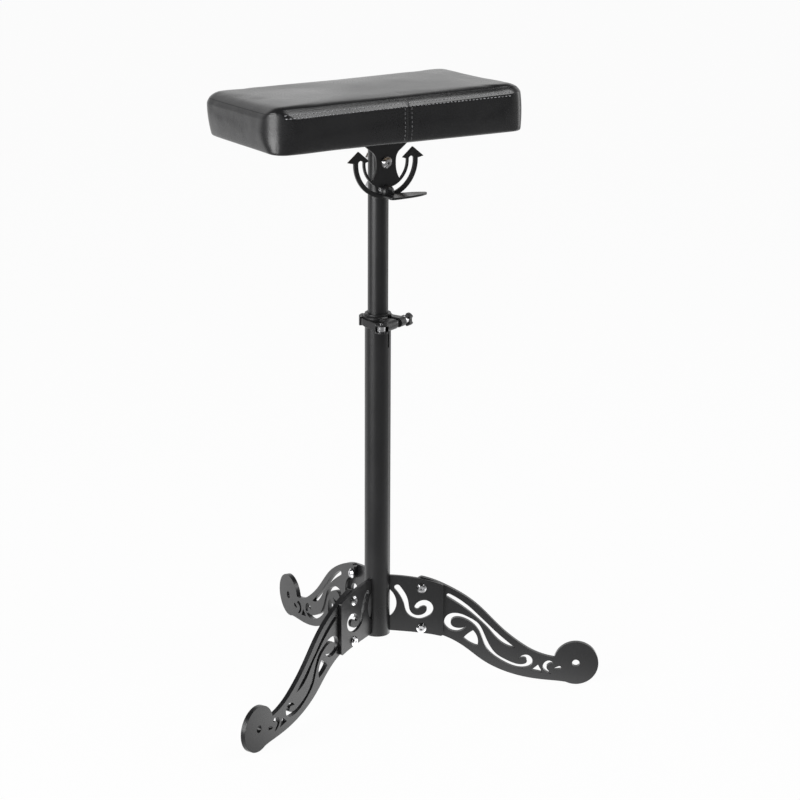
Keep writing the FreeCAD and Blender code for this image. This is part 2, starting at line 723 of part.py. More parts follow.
WING_TOP = S.wing_low + S.wing_rise
SCREW_HIGH = S.screw_low + S.screw_pitch
FOOT_HIGH = S.foot_d / 2


def wing_point(u, v):
    """A place on the wing from its shares."""
    start = float(OUTER_HALF)
    return Vector(start + u * (float(S.wing_reach) - start), float(S.wing_low) + v * float(S.wing_rise), 0)


def wing(name, turn):
    """A plate welded upright on the outer tube, with its hook and half-moon cut-outs."""
    body = new_body(name, turn=turn)
    face = new_sketch(body, "face", "XZ_Plane")
    bite = Vector(float(S.wing_t), 0, 0)
    corner = float(S.wing_corner)
    bottom = smooth([wing_point(u, v) for u, v in WING_BOTTOM_SHARES])
    top = smooth([wing_point(u, v) for u, v in WING_TOP_SHARES])
    low_in, low_out = wing_point(*WING_BOTTOM_SHARES[0]), wing_point(*WING_BOTTOM_SHARES[-1])
    high_out, high_in = wing_point(*WING_TOP_SHARES[0]), wing_point(*WING_TOP_SHARES[-1])
    outline(face, bottom + top + [line(low_out, high_out), line(high_in, high_in - bite),
                                  line(high_in - bite, low_in - bite), line(low_in - bite, low_in)])
    feature = pad(body, face, S.wing_t, both=True)

    def is_end(edge):
        return (all(abs(v.X - low_out.x) < float(S.seat_gap) for v in edge.Vertexes)
                and edge.BoundBox.ZLength < float(S.seat_gap))

    fillet(body, feature, f"{name}_corners", is_end, S.wing_corner)
    seat = new_sketch(body, "tube_seat")
    circle(seat, S.outer_d)
    pocket(body, seat)
    moon = new_sketch(body, "half_moon", "XZ_Plane")
    circle(moon, S.moon_half * 2, ZERO, S.wing_low + S.wing_rise / 2)
    pocket(body, moon)
    hook = new_sketch(body, "hook", "XZ_Plane")
    outline(hook, stroke(HOOK_SHARES, wing_point, float(S.scroll_wide)))
    pocket(body, hook)
    drilled = new_sketch(body, "screw_holes", "XZ_Plane")
    for high in (S.screw_low, SCREW_HIGH):
        circle(drilled, S.screw_d + S.hole_fit * 2, S.screw_out, high)
    pocket(body, drilled)


def leg_point(u, v):
    """A place on the leg from its shares."""
    start = float(S.screw_out)
    return Vector(start + u * (float(S.foot_reach) - start), v * float(WING_TOP), 0)


def leg_edge():
    """The leg's outer edge: two lobes round the screws, a swept blade and the foot disc."""
    out = float(S.screw_out)
    lobe = float(S.lobe_half)
    low, high = Vector(out, float(S.screw_low), 0), Vector(out, float(SCREW_HIGH), 0)
    foot = Vector(float(S.foot_reach), float(FOOT_HIGH), 0)
    disc = float(FOOT_HIGH)
    disc_top = polar(foot, disc, DISC_TOP_TURN)
    disc_bottom = polar(foot, disc, DISC_BOTTOM_TURN)
    top = [leg_point(u, v) for u, v in LEG_TOP_SHARES] + [disc_top]
    under = low - Vector(0, lobe, 0)
    bottom = [under] + [leg_point(u, v) for u, v in LEG_BOTTOM_SHARES] + [disc_bottom]
    shoulder = Vector(out - lobe, top[0].y - lobe, 0)
    shoulder_mid = polar(Vector(out, top[0].y - lobe, 0), lobe, 135)
    recess_top = high - Vector(0, lobe, 0)
    recess_low = low + Vector(0, lobe, 0)
    recess_mid = (recess_top + recess_low) / 2 + Vector(float(S.recess_deep), 0, 0)
    return smooth(top) + smooth(bottom) + [
        arc(disc_top, polar(foot, disc, 0), disc_bottom),
        arc(under, polar(low, lobe, 180), recess_low),
        arc(recess_low, recess_mid, recess_top),
        arc(recess_top, polar(high, lobe, 225), Vector(out - lobe, high.y, 0)),
        line(Vector(out - lobe, high.y, 0), shoulder), arc(shoulder, shoulder_mid, top[0])]


def leg(name, turn, side):
    """One cut plate leg, bolted to the face of its wing."""
    body = new_body(name, turn=turn)
    lift = -side * (S.wing_t + S.leg_t) / 2
    blade = new_sketch(body, "blade", "XZ_Plane", lift=lift)
    outline(blade, leg_edge())
    pad(body, blade, S.leg_t, both=True)
    width = float(S.scroll_wide)
    cuts = {
        "long_slot": stroke(LONG_SLOT_SHARES, leg_point, width),
        "scroll": stroke(SCROLL_SHARES, leg_point, width),
        "crescent": stroke(CRESCENT_SHARES, leg_point, width),
        "drop": stroke(DROP_SHARES, leg_point, width),
        "sail": sides(SAIL_SHARES, leg_point),
        "wedge": sides(WEDGE_SHARES, leg_point),
    }
    for label, curves in cuts.items():
        cut = new_sketch(body, label, "XZ_Plane")
        outline(cut, curves)
        pocket(body, cut)
    drilled = new_sketch(body, "holes", "XZ_Plane")
    for high in (S.screw_low, SCREW_HIGH):
        circle(drilled, S.screw_d + S.hole_fit * 2, S.screw_out, high)
    circle(drilled, S.foot_hole_d, S.foot_reach, FOOT_HIGH)
    pocket(body, drilled)


def hexagon(sketch, flats, x=ZERO, y=ZERO):
    """A bound six-sided outline."""
    long_half = flats / 3 ** 0.5
    corners = [(long_half, ZERO), (long_half / 2, flats / 2), (-long_half / 2, flats / 2), (-long_half, ZERO),
               (-long_half / 2, -flats / 2), (long_half / 2, -flats / 2)]
    polygon(sketch, [(x + cx if x.text != "0" else cx, y + cy if y.text != "0" else cy) for cx, cy in corners])


def headed_screw(name, shank_d, head_d, head_rise, length):
    """A domed screw along +Z with its seat at the origin, its head below and a six-sided recess."""
    body = new_body(name)
    half = new_sketch(body, "half", "XZ_Plane")
    head = head_d / 2
    rim = head_rise * HEAD_RIM_SHARE
    crown = head * HEAD_CROWN_SHARE
    polygon(half, [(ZERO, -head_rise), (crown, -head_rise), (head, -rim), (head, ZERO), (shank_d / 2, ZERO),
                   (shank_d / 2, length), (ZERO, length)])
    revolve(body, half)
    recess = new_sketch(body, "recess", lift=-head_rise)
    hexagon(recess, S.recess_d)
    pocket(body, recess, S.recess_deep_in, both=False, back=True)
    return body


def hex_nut(name, flats, bore, thick):
    """A plain six-sided nut along +Z from the origin."""
    body = new_body(name)
    face = new_sketch(body, "face")
    hexagon(face, flats)
    circle(face, bore)
    pad(body, face, thick)
    return body


def leg_fasteners():
    """Six screws and six nuts, two of each on every wing."""
    stack = S.wing_t + S.leg_t
    screw = headed_screw("leg_screw", S.screw_d, S.screw_head_d, S.screw_head_rise,
                         stack + S.nut_thick + S.screw_stub)
    nut = hex_nut("leg_nut", S.nut_flats, S.screw_d, S.nut_thick)
    screws, nuts = [], []
    for label, turn in LEG_TURNS.items():
        side, head = LEG_SIDES[label], HEAD_SIDES[label]
        wing_face = float(S.wing_t) / 2
        leg_face = wing_face + float(S.leg_t)
        seat = head * (leg_face if head == side else wing_face)
        back = -head * (wing_face if head == side else leg_face)
        about = Placement(Vector(), Rotation(Vector(0, 0, 1), turn))
        inward = Rotation(Vector(0, 0, 1), Vector(0, -head, 0))
        for high in (S.screw_low, SCREW_HIGH):
            place = Vector(float(S.screw_out), 0, float(high))
            screws.append(about.multiply(Placement(place + Vector(0, seat, 0), inward)))
            nuts.append(about.multiply(Placement(place + Vector(0, back, 0), inward)))
    group("leg_screws", screw, screws)
    group("leg_nuts", nut, nuts)


# Tilt head. Plates stand across Y; the bracket's plate is in front of the tube.

LOCK_HIGH = S.pivot_high - S.slot_half
PLATE_BACK = INNER_HALF + S.spacer_long + S.seat_gap
PLATE_FRONT = PLATE_BACK + S.plate_t
WASHER_BACK = PLATE_FRONT + S.seat_gap
WASHER_FRONT = WASHER_BACK + S.tilt_washer_t
REAR_FACE = INNER_HALF + S.spacer_long


def tube_spacers():
    """Four saddle spacers, hollowed to sit on the round tube, at the pivot and lock bolts."""
    master = new_body("tube_spacer")
    section = new_sketch(master, "section", "XZ_Plane", lift=REAR_FACE)
    circle(section, S.spacer_d)
    pad(master, section, S.spacer_long + INNER_HALF / 2, back=True)
    saddle = new_sketch(master, "saddle")
    circle(saddle, S.inner_d)
    pocket(master, saddle)
    drilled = new_sketch(master, "bolt_hole", "XZ_Plane")
    circle(drilled, S.tilt_bolt_d + S.hole_fit * 2)
    pocket(master, drilled)
    places = [Placement(Vector(0, 0, float(high)), Rotation(Vector(0, 0, 1), turn))
              for high in (S.pivot_high, LOCK_HIGH) for turn in (0, 180)]
    group("tube_spacers", master, places)


def tilt_washers():
    """Washers in front of the tilt plate, at the pivot and at the lock nut."""
    master = new_body("tilt_washer")
    ring = new_sketch(master, "ring", "XZ_Plane", lift=WASHER_BACK)
    circle(ring, S.tilt_washer_d)
    circle(ring, S.tilt_bolt_d + S.hole_fit * 2)
    pad(master, ring, S.tilt_washer_t)
    group("tilt_washers", master, [Placement(Vector(0, 0, float(high)), Rotation())
                                   for high in (S.pivot_high, LOCK_HIGH)])


def pivot_bolt():
    """The bright bolt that the bracket tilts on."""
    length = WASHER_FRONT + REAR_FACE + S.tilt_nut_thick + S.tilt_stub
    master = headed_screw("pivot_bolt_master", S.tilt_bolt_d, S.tilt_head_d, S.tilt_head_rise, length)
    place = Placement(Vector(0, -float(WASHER_FRONT), float(S.pivot_high)), Rotation(Vector(0, 0, 1), Vector(0, 1, 0)))
    group("pivot_bolt", master, [place])


def pivot_nut():
    """The nut on the pivot bolt, behind the tube."""
    master = hex_nut("pivot_nut_master", S.nut_flats, S.tilt_bolt_d, S.tilt_nut_thick)
    place = Placement(Vector(0, float(REAR_FACE), float(S.pivot_high)), Rotation(Vector(0, 0, 1), Vector(0, 1, 0)))
    group("pivot_nut", master, [place])


def lock_bolt():
    """The lock bolt: six-sided head behind the tube, shank through the slot into the lock nut."""
    body = new_body("lock_bolt", at=(ZERO, ZERO, LOCK_HIGH))
    head = new_sketch(body, "head", "XZ_Plane", lift=-REAR_FACE)
    hexagon(head, S.nut_flats)
    pad(body, head, S.tilt_nut_thick, back=True)
    shank = new_sketch(body, "shank", "XZ_Plane", lift=-REAR_FACE)
    circle(shank, S.tilt_bolt_d)
    pad(body, shank, REAR_FACE + WASHER_FRONT + S.lock_bore_deep - S.seat_gap)


def lock_nut():
    """The domed nut that clamps the slot; the lever plate is welded under it."""
    body = new_body("lock_nut", at=(ZERO, ZERO, LOCK_HIGH))
    half = new_sketch(body, "half")
    radius = S.lock_nut_d / 2
    back = -(WASHER_FRONT + S.seat_gap)
    front = back - S.lock_nut_long
    bore = S.tilt_bolt_d / 2 + S.running_fit
    deep = back - S.lock_bore_deep
    dome = [(radius * out, front + radius * rise) for out, rise in LOCK_DOME_SHARES]
    polygon(half, [(bore, back), (radius, back)] + dome + [(ZERO, front), (ZERO, deep), (bore, deep)])
    revolve(body, half)


def lock_lever():
    """The flat lever under the lock nut, a long leaf with a round tip."""
    body = new_body("lock_lever", at=(ZERO, -(WASHER_FRONT + S.seat_gap), LOCK_HIGH - S.lock_plate_drop - S.lock_plate_t))
    leaf = new_sketch(body, "leaf")
    reach, deep, tail = float(S.lock_reach), float(S.lock_deep), float(S.lock_tail)
    tip = float(S.lock_tip_half)
    mid = -deep / 2
    tip_centre = Vector(reach - tip, mid, 0)
    near = [Vector(u * reach, mid + v * deep, 0) for u, v in LOCK_EDGE_SHARES]
    far = [Vector(p.x, 2 * mid - p.y, 0) for p in near]
    root = near[-1].y - mid
    tail_corner = min(tail, root) / 2
    end = -tail + tail_corner
    upper = [polar(tip_centre, tip, LOCK_TIP_TURN)] + near
    lower = [polar(tip_centre, tip, -LOCK_TIP_TURN)] + far
    curves = [arc(upper[0], polar(tip_centre, tip, 0), lower[0])] + smooth(upper) + smooth(lower)
    for sign, edge in ((1, near[-1]), (-1, far[-1])):
        shoulder = Vector(end, edge.y, 0)
        centre = shoulder - Vector(0, sign * tail_corner, 0)
        side = centre - Vector(tail_corner, 0, 0)
        curves += [line(edge, shoulder), arc(shoulder, polar(centre, tail_corner, 180 - sign * 45), side)]
    curves.append(line(Vector(-tail, mid + root - tail_corner, 0), Vector(-tail, mid - root + tail_corner, 0)))
    outline(leaf, curves)
    pad(body, leaf, S.lock_plate_t)
    seat = new_sketch(body, "nut_seat", "XZ_Plane")
    circle(seat, S.lock_nut_d, ZERO, S.lock_plate_drop + S.lock_plate_t)
    pocket(body, seat, S.lock_nut_long, both=False, back=True)


def bracket_side(mirror):
    """One side of the anchor-shaped plate, from the flange down to the lowest point."""
    def spot(x, z):
        return Vector(mirror * x, z, 0)

    neck, rise = float(S.neck_half), float(S.flange_rise)
    flare = [spot(u * neck, v * rise) for u, v in FLARE_SHARES]
    notch, notch_half = float(S.notch_out), float(S.notch_half)
    inner, outer = float(S.band_in), float(S.band_out)
    notch_z = -math.sqrt(inner ** 2 - (notch + notch_half) ** 2)
    notch_left = spot(notch - notch_half, notch_z)
    notch_right = spot(notch + notch_half, notch_z)
    notch_low = spot(notch, notch_z - notch_half)
    barb_high = float(S.barb_high)
    root = barb_high / 2
    band_in = spot(math.sqrt(inner ** 2 - root ** 2), root)
    band_out = spot(math.sqrt(outer ** 2 - root ** 2), root)
    middle = -0.5 * math.asin((notch + notch_half) / inner) + math.pi / 4
    inner_mid = spot(inner * math.cos(-middle), inner * math.sin(-middle))
    outer_mid = spot(outer * math.cos(math.pi / 4), -outer * math.sin(math.pi / 4))
    barb_in = spot(float(S.barb_in), barb_high)
    barb_out = spot(float(S.barb_out), barb_high)
    tip = spot(float(S.tip_out), float(S.tip_high))
    return smooth([notch_left] + flare) + [
        arc(notch_left, notch_low, notch_right),
        arc(notch_right, inner_mid, band_in), line(band_in, barb_in), line(barb_in, tip), line(tip, barb_out),
        line(barb_out, band_out), arc(band_out, outer_mid, spot(0, -outer)),
        line(flare[-1], spot(float(S.flange_wide) / 2, rise)),
        line(spot(float(S.flange_wide) / 2, rise), spot(float(S.flange_wide) / 2, rise + float(S.plate_t)))]


def tilt_bracket():
    """The anchor-shaped plate with its curved lock slot, bent back into a flange under the board."""
    body = new_body("tilt_bracket", at=(ZERO, ZERO, S.pivot_high))
    face = new_sketch(body, "anchor", "XZ_Plane", lift=PLATE_BACK)
    half = float(S.flange_wide) / 2
    top = float(S.flange_rise + S.plate_t)
    outline(face, bracket_side(1) + bracket_side(-1) + [line(Vector(-half, top, 0), Vector(half, top, 0))])
    pad(body, face, S.plate_t)
    flange = new_sketch(body, "flange", lift=S.flange_rise)
    front = -float(PLATE_FRONT)
    back = front + float(S.flange_long)
    corner = float(S.flange_corner)
    curves = [line(Vector(-half, front, 0), Vector(half, front, 0))]
    for sign in (1, -1):
        centre = Vector(sign * (half - corner), back - corner, 0)
        side_end = Vector(sign * half, back - corner, 0)
        curves.append(line(Vector(sign * half, front, 0), side_end))
        curves.append(arc(side_end, polar(centre, corner, 90 - sign * 45), Vector(centre.x, back, 0)))
    curves.append(line(Vector(half - corner, back, 0), Vector(corner - half, back, 0)))
    outline(flange, curves)
    feature = pad(body, flange, S.plate_t)

    def is_bend(edge):
        return (abs(edge.Length - 2 * half) < float(S.seat_gap)
                and all(abs(v.Y - front) < float(S.seat_gap) and abs(v.Z - top) < float(S.seat_gap)
                        for v in edge.Vertexes))

    fillet(body, feature, "tilt_bracket_bend", is_bend, S.plate_t - S.seat_gap)
    slot = new_sketch(body, "lock_slot", "XZ_Plane")
    origin = Vector()
    swing = float(S.slot_swing)
    near = float(S.slot_half - S.slot_wide / 2)
    far = float(S.slot_half + S.slot_wide / 2)
    ends = [-90 - swing, -90 + swing]
    curves = [arc(polar(origin, r, ends[0]), polar(origin, r, -90), polar(origin, r, ends[1])) for r in (near, far)]
    for turn, past in zip(ends, (-1, 1)):
        centre = polar(origin, float(S.slot_half), turn)
        cap = polar(centre, float(S.slot_wide) / 2, turn + past * 90)
        curves.append(arc(polar(origin, near, turn), cap, polar(origin, far, turn)))
    outline(slot, curves)
    pocket(body, slot)
    drilled = new_sketch(body, "pivot_hole", "XZ_Plane")
    circle(drilled, S.tilt_bolt_d + S.running_fit * 2)
    pocket(body, drilled, PLATE_FRONT + S.overrun, both=False, back=True)
    holes = new_sketch(body, "board_holes")
    for x, y in BOARD_HOLES:
        circle(holes, S.board_screw_d + S.hole_fit * 2, x, y)
    pocket(body, holes)


# Pad

BOARD_LOW = S.pivot_high + S.flange_rise + S.plate_t
FLANGE_MID = S.flange_long / 2 - PLATE_FRONT
BOARD_HOLES = [(sx * S.hole_across / 2, FLANGE_MID + sy * S.hole_apart / 2) for sx in (1, -1) for sy in (1, -1)]
BOARD_LONG = S.pad_long - (S.pad_draw + S.cover_wall + S.soft_gap) * 2
BOARD_WIDE = S.pad_wide - (S.pad_draw + S.cover_wall + S.soft_gap) * 2
BOARD_CORNER = S.pad_corner - S.pad_draw - S.cover_wall
CROWN_ROLL = S.pad_wide * S.pad_wide / (S.pad_crown * 8)


def rounded(length, width, corner):
    """A rounded rectangle about the origin."""
    a, b = length / 2, width / 2
    curves = []
    for sx, sy, turn in ((1, 1, 45), (-1, 1, 135), (-1, -1, 225), (1, -1, 315)):
        centre = Vector(sx * (a - corner), sy * (b - corner), 0)
        curves.append(arc(polar(centre, corner, turn - 45), polar(centre, corner, turn),
                          polar(centre, corner, turn + 45)))
    curves += [line(Vector(a - corner, b, 0), Vector(corner - a, b, 0)),
               line(Vector(-a, b - corner, 0), Vector(-a, corner - b, 0)),
               line(Vector(corner - a, -b, 0), Vector(a - corner, -b, 0)),
               line(Vector(a, corner - b, 0), Vector(a, b - corner, 0))]
    return curves


def pad_board():
    """The plywood board inside the pad, drilled for the threaded inserts."""
    body = new_body("pad_board", at=(ZERO, S.pad_back, BOARD_LOW))
    plan = new_sketch(body, "plan")
    outline(plan, rounded(float(BOARD_LONG), float(BOARD_WIDE), float(BOARD_CORNER)))
    pad(body, plan, S.board_t)
    holes = new_sketch(body, "insert_holes")
    for x, y in BOARD_HOLES:
        circle(holes, S.insert_d, x, y - S.pad_back)
    pocket(body, holes)


def pad_cushion():
    """Foam and cover as one soft form: crowned top, sides that draw in, and a bed for the board."""
    body = new_body("pad_cushion", at=(ZERO, S.pad_back, BOARD_LOW))
    high = S.pad_side + S.pad_crown
    sections = []
    for i, (up, inset) in enumerate(CUSHION_SHARES):
        section = new_sketch(body, f"section_{i}", lift=high * up)
        draw = S.pad_draw * inset
        outline(section, rounded(float(S.pad_long - draw * 2), float(S.pad_wide - draw * 2),
                                 float(S.pad_corner - draw)))
        section.Visibility = False
        sections.append(section)
    loft = body.newObject("PartDesign::AdditiveLoft", "pad_cushion_sides")
    loft.Profile = sections[0]
    loft.Sections = sections[1:]
    DOC.recompute()
    crown = new_sketch(body, "crown", "XZ_Plane")
    half = float(S.pad_long) / 2
    past = half + float(S.overrun)
    low = float(S.pad_side)
    top = float(high)
    rise = (top - low) * (past / half) ** 2
    over = top + float(S.pad_crown) + float(S.overrun)
    left, right = Vector(-past, top - rise, 0), Vector(past, top - rise, 0)
    lid_left, lid_right = Vector(-past, over, 0), Vector(past, over, 0)
    outline(crown, [arc(left, Vector(0, top, 0), right), line(right, lid_right), line(lid_right, lid_left),
                    line(lid_left, left)])
    roll = crown.addGeometry(line(Vector(-past, top - float(CROWN_ROLL), 0), Vector(past, top - float(CROWN_ROLL), 0)),
                             True)
    crown.addConstraint(Sketcher.Constraint("Block", roll))
    cut = body.newObject("PartDesign::Groove", "pad_cushion_crowning")
    cut.Profile = crown
    cut.ReferenceAxis = (crown, ["Axis0"])
    cut.Angle = 360
    finish_feature(cut, crown)
    fillet(body, cut, "pad_cushion_edge", lambda edge: edge.BoundBox.ZMin > low - float(S.pad_crown), S.pad_edge)
    bed = new_sketch(body, "bed")
    outline(bed, rounded(float(BOARD_LONG + S.soft_gap * 2), float(BOARD_WIDE + S.soft_gap * 2),
                         float(BOARD_CORNER + S.soft_gap)))
    pocket(body, bed, S.board_t + S.soft_gap, both=False, back=True)


def cover_hem():
    """The cover's edge, turned under the board."""
    body = new_body("cover_hem", at=(ZERO, S.pad_back, BOARD_LOW - S.hem_t))
    plan = new_sketch(body, "plan")
    long, wide = float(S.pad_long - S.pad_draw * 2), float(S.pad_wide - S.pad_draw * 2)
    corner, hem = float(S.pad_corner - S.pad_draw), float(S.hem_wide)
    outline(plan, rounded(long, wide, corner))
    outline(plan, rounded(long - 2 * hem, wide - 2 * hem, corner / 2))
    pad(body, plan, S.hem_t)


def board_fasteners():
    """Four screws through the flange and the threaded inserts that they enter."""
    depth = S.plate_t + S.insert_long
    screw = headed_screw("board_screw", S.board_screw_d, S.board_head_d, S.board_head_rise, depth)
    insert = new_body("board_insert")
    ring = new_sketch(insert, "ring")
    circle(ring, S.insert_d)
    circle(ring, S.board_screw_d)
    pad(insert, ring, S.insert_long)
    under = float(BOARD_LOW - S.plate_t)
    screws = [Placement(Vector(float(x), float(y), under), Rotation()) for x, y in BOARD_HOLES]
    inserts = [Placement(Vector(float(x), float(y), float(BOARD_LOW)), Rotation()) for x, y in BOARD_HOLES]
    group("board_screws", screw, screws)
    group("board_inserts", insert, inserts)


def build():
    """Build every piece in the order of assembly."""
    outer_tube()
    inner_tube()
    guide_bush()
    for maker in (clamp_collar, clamp_rod, cam_pin, cam_seat, clamp_lever, lever_grip, rod_ferrule, thumb_nut):
        maker()
    for label, turn in LEG_TURNS.items():
        wing(f"wing_{label}", turn)
        leg(f"leg_{label}", turn, LEG_SIDES[label])
    leg_fasteners()
    for maker in (tube_spacers, tilt_washers, pivot_bolt, pivot_nut, lock_bolt, lock_nut, lock_lever, tilt_bracket):
        maker()
    for maker in (pad_board, pad_cushion, cover_hem, board_fasteners):
        maker()


MASTERS = {"leg_screw", "leg_nut", "tube_spacer", "tilt_washer", "pivot_bolt_master", "pivot_nut_master",
           "board_screw", "board_insert"}


def write_parts():
    """Check every object and write each sub-part to its own file."""
    DOC.recompute()
    for item in DOC.Objects:
        if "Invalid" in item.State or "Error" in item.State:
            raise RuntimeError(f"{item.Name} failed: {item.State}")
    nodes = [item for item in DOC.Objects
             if item.Label == item.Name and item.Name not in MASTERS
             and (item.TypeId == "PartDesign::Body" or item.TypeId == "Part::Feature")]
    for node in nodes:
        if node.Shape.isNull() or not node.Shape.isValid() or not node.Shape.Solids:
            raise RuntimeError(f"{node.Label} has no valid shape")
    os.makedirs("parts", exist_ok=True)
    for node in nodes:
        node.Shape.exportStep(f"parts/{node.Label}.step")
    print(f"{len(nodes)} nodes, {sum(len(node.Shape.Solids) for node in nodes)} solids")


build()
write_parts()
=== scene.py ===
"""Looks for the tattoo arm rest stand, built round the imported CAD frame. Metres, +Z up."""

import json
import logging
import math
from dataclasses import dataclass, field
from enum import Enum
from functools import cache
from typing import Callable, Iterable, Sequence

import bmesh
import bpy
from mathutils import Matrix, Vector, noise
from mathutils.bvhtree import BVHTree

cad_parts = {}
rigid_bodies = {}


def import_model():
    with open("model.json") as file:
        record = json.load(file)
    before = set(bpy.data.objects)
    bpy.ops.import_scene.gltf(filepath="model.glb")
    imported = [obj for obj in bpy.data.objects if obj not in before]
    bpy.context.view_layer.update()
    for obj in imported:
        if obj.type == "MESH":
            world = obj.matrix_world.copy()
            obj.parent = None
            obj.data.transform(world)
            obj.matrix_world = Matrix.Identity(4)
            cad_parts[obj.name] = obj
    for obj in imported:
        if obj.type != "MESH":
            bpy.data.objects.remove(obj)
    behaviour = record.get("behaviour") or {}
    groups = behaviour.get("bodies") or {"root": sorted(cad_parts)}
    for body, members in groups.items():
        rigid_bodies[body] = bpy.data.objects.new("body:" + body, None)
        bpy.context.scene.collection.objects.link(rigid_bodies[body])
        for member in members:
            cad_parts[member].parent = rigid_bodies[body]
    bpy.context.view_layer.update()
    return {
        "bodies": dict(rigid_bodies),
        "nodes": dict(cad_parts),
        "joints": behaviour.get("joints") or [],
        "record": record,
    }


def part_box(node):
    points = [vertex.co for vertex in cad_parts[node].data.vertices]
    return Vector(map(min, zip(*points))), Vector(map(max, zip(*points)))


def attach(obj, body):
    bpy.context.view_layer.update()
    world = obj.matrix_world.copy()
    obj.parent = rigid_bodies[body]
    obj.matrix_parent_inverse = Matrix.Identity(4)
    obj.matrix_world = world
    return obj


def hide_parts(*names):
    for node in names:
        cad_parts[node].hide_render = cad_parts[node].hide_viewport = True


LOG = logging.getLogger("arm_rest_stand")
MM = 0.001

Material, NodeTree, Object, Socket = bpy.types.Material, bpy.types.NodeTree, bpy.types.Object, bpy.types.NodeSocket
Pair = tuple[float, float]
Shares = tuple[float, ...]
Triple = tuple[float, float, float]
Rgb = Triple


class Slot(Enum):
    """The record's material slots."""

    STEEL = "black_steel"
    ALLOY = "black_alloy"
    CHROME = "chrome"
    PLASTIC = "black_plastic"
    LEATHERETTE = "leatherette"
    PLYWOOD = "plywood"


class Side(Enum):
    """The faces of the pad's lattice."""

    TOP = "top"
    BOTTOM = "bottom"
    WALL = "wall"


# Node helpers

DUST_COLOUR: Rgb = (0.42, 0.41, 0.40)
WHITE: Rgb = (1.0, 1.0, 1.0)
# The middle part of a noise's range, which a tint or a roughness follows.
TINT_RANGE = (0.3, 0.7)
ROUGH_RANGE = (0.25, 0.75)


@dataclass
class Graph:
    """A node tree that is filled from left to right."""

    tree: NodeTree

    def add(self, kind: str, **settings: object) -> bpy.types.Node:
        """Add a node.

        Args:
            kind: Blender's name of the node type.
            settings: attributes of the node, or values of its inputs by name with spaces as underscores.

        Returns:
            The new node.
        """
        node = self.tree.nodes.new(kind)
        node.location = (220 * len(self.tree.nodes), 0)
        for name, value in settings.items():
            if hasattr(node, name):
                setattr(node, name, value)
            else:
                self.plug(node.inputs[name.replace("_", " ")], value)
        return node

    def plug(self, socket: Socket, value: object) -> None:
        """Set or link one input.

        Args:
            socket: the input that takes the value.
            value: a socket to link, a colour without alpha, or a plain value.
        """
        if isinstance(value, Socket):
            self.tree.links.new(value, socket)
        elif socket.type == "RGBA":
            socket.default_value = (*value, 1.0)
        else:
            socket.default_value = value

    def place(self) -> Socket:
        """The place on the object, in metres."""
        return self.add("ShaderNodeTexCoord").outputs["Object"]

    def math(self, operation: str, first: object, second: object = 0.0, clamp: bool = False) -> Socket:
        """Join two values by arithmetic.

        Args:
            operation: the Math node's operation.
            first: a socket or number.
            second: a socket or number.
            clamp: keep the result from 0 to 1.

        Returns:
            The result's socket.
        """
        node = self.add("ShaderNodeMath", operation=operation, use_clamp=clamp)
        for socket, value in zip(node.inputs, (first, second)):
            self.plug(socket, value)
        return node.outputs[0]

    def times(self, *factors: object) -> Socket:
        """Multiply values from left to right.

        Args:
            factors: sockets and numbers.

        Returns:
            The product's socket.
        """
        result = factors[0]
        for factor in factors[1:]:
            result = self.math("MULTIPLY", result, factor)
        return result

    def noise(self, scale: object, detail: float, place: Socket | None = None, **settings: object) -> Socket:
        """A noise from 0 to 1 with finer layers, read at a place or else at the place on the object."""
        where = place or self.place()
        return self.add("ShaderNodeTexNoise", Vector=where, Scale=scale, Detail=detail, **settings).outputs["Fac"]

    def bump(self, height: Socket, depth: float, strength: float = 1.0, **settings: object) -> Socket:
        """Bend the normal by a height, of which 1 is the depth in metres."""
        node = self.add("ShaderNodeBump", Strength=strength, Distance=depth, Height=height, **settings)
        return node.outputs[0]

    def dot(self, first: Socket, second: object) -> Socket:
        """Multiply two vectors into one number.

        Args:
            first: a socket.
            second: a socket or plain vector.

        Returns:
            The dot product's socket.
        """
        node = self.add("ShaderNodeVectorMath", operation="DOT_PRODUCT")
        self.plug(node.inputs[0], first)
        self.plug(node.inputs[1], second)
        return node.outputs["Value"]

    def ramp(self, value: Socket, low: float, high: float, start: float = 0.0, end: float = 1.0) -> Socket:
        """Map a value that runs from low to high onto one that runs from start to end, held at both ends."""
        node = self.add("ShaderNodeMapRange", Value=value, From_Min=low, From_Max=high, To_Min=start, To_Max=end)
        return node.outputs["Result"]

    def blend(self, share: object, first: object, second: object) -> Socket:
        """Mix two colours.

        Args:
            share: how much of the second colour, a socket or number.
            first: a socket or colour.
            second: a socket or colour.

        Returns:
            The mixed colour's socket.
        """
        node = self.add("ShaderNodeMix", data_type="RGBA")
        for socket, value in ((node.inputs["Factor"], share), (node.inputs[6], first), (node.inputs[7], second)):
            self.plug(socket, value)
        return node.outputs[2]

    def skin(self, base: Socket, rough: Socket, normal: Socket, **settings: object) -> None:
        """End a material with one Principled shader and its output."""
        shader = self.add("ShaderNodeBsdfPrincipled", Base_Color=base, Roughness=rough, Normal=normal, **settings)
        self.add("ShaderNodeOutputMaterial", Surface=shader.outputs[0])


def new_material(name: str, colour: Rgb | None = None) -> tuple[Material, Graph]:
    """Start a procedural material.

    Args:
        name: the material's name.
        colour: its plain colour in the viewport.

    Returns:
        The material, and its empty node tree.
    """
    made = bpy.data.materials.new(name)
    made.use_nodes = True
    if colour:
        made.diffuse_color = (*colour, 1.0)
    made.node_tree.nodes.clear()
    return made, Graph(made.node_tree)


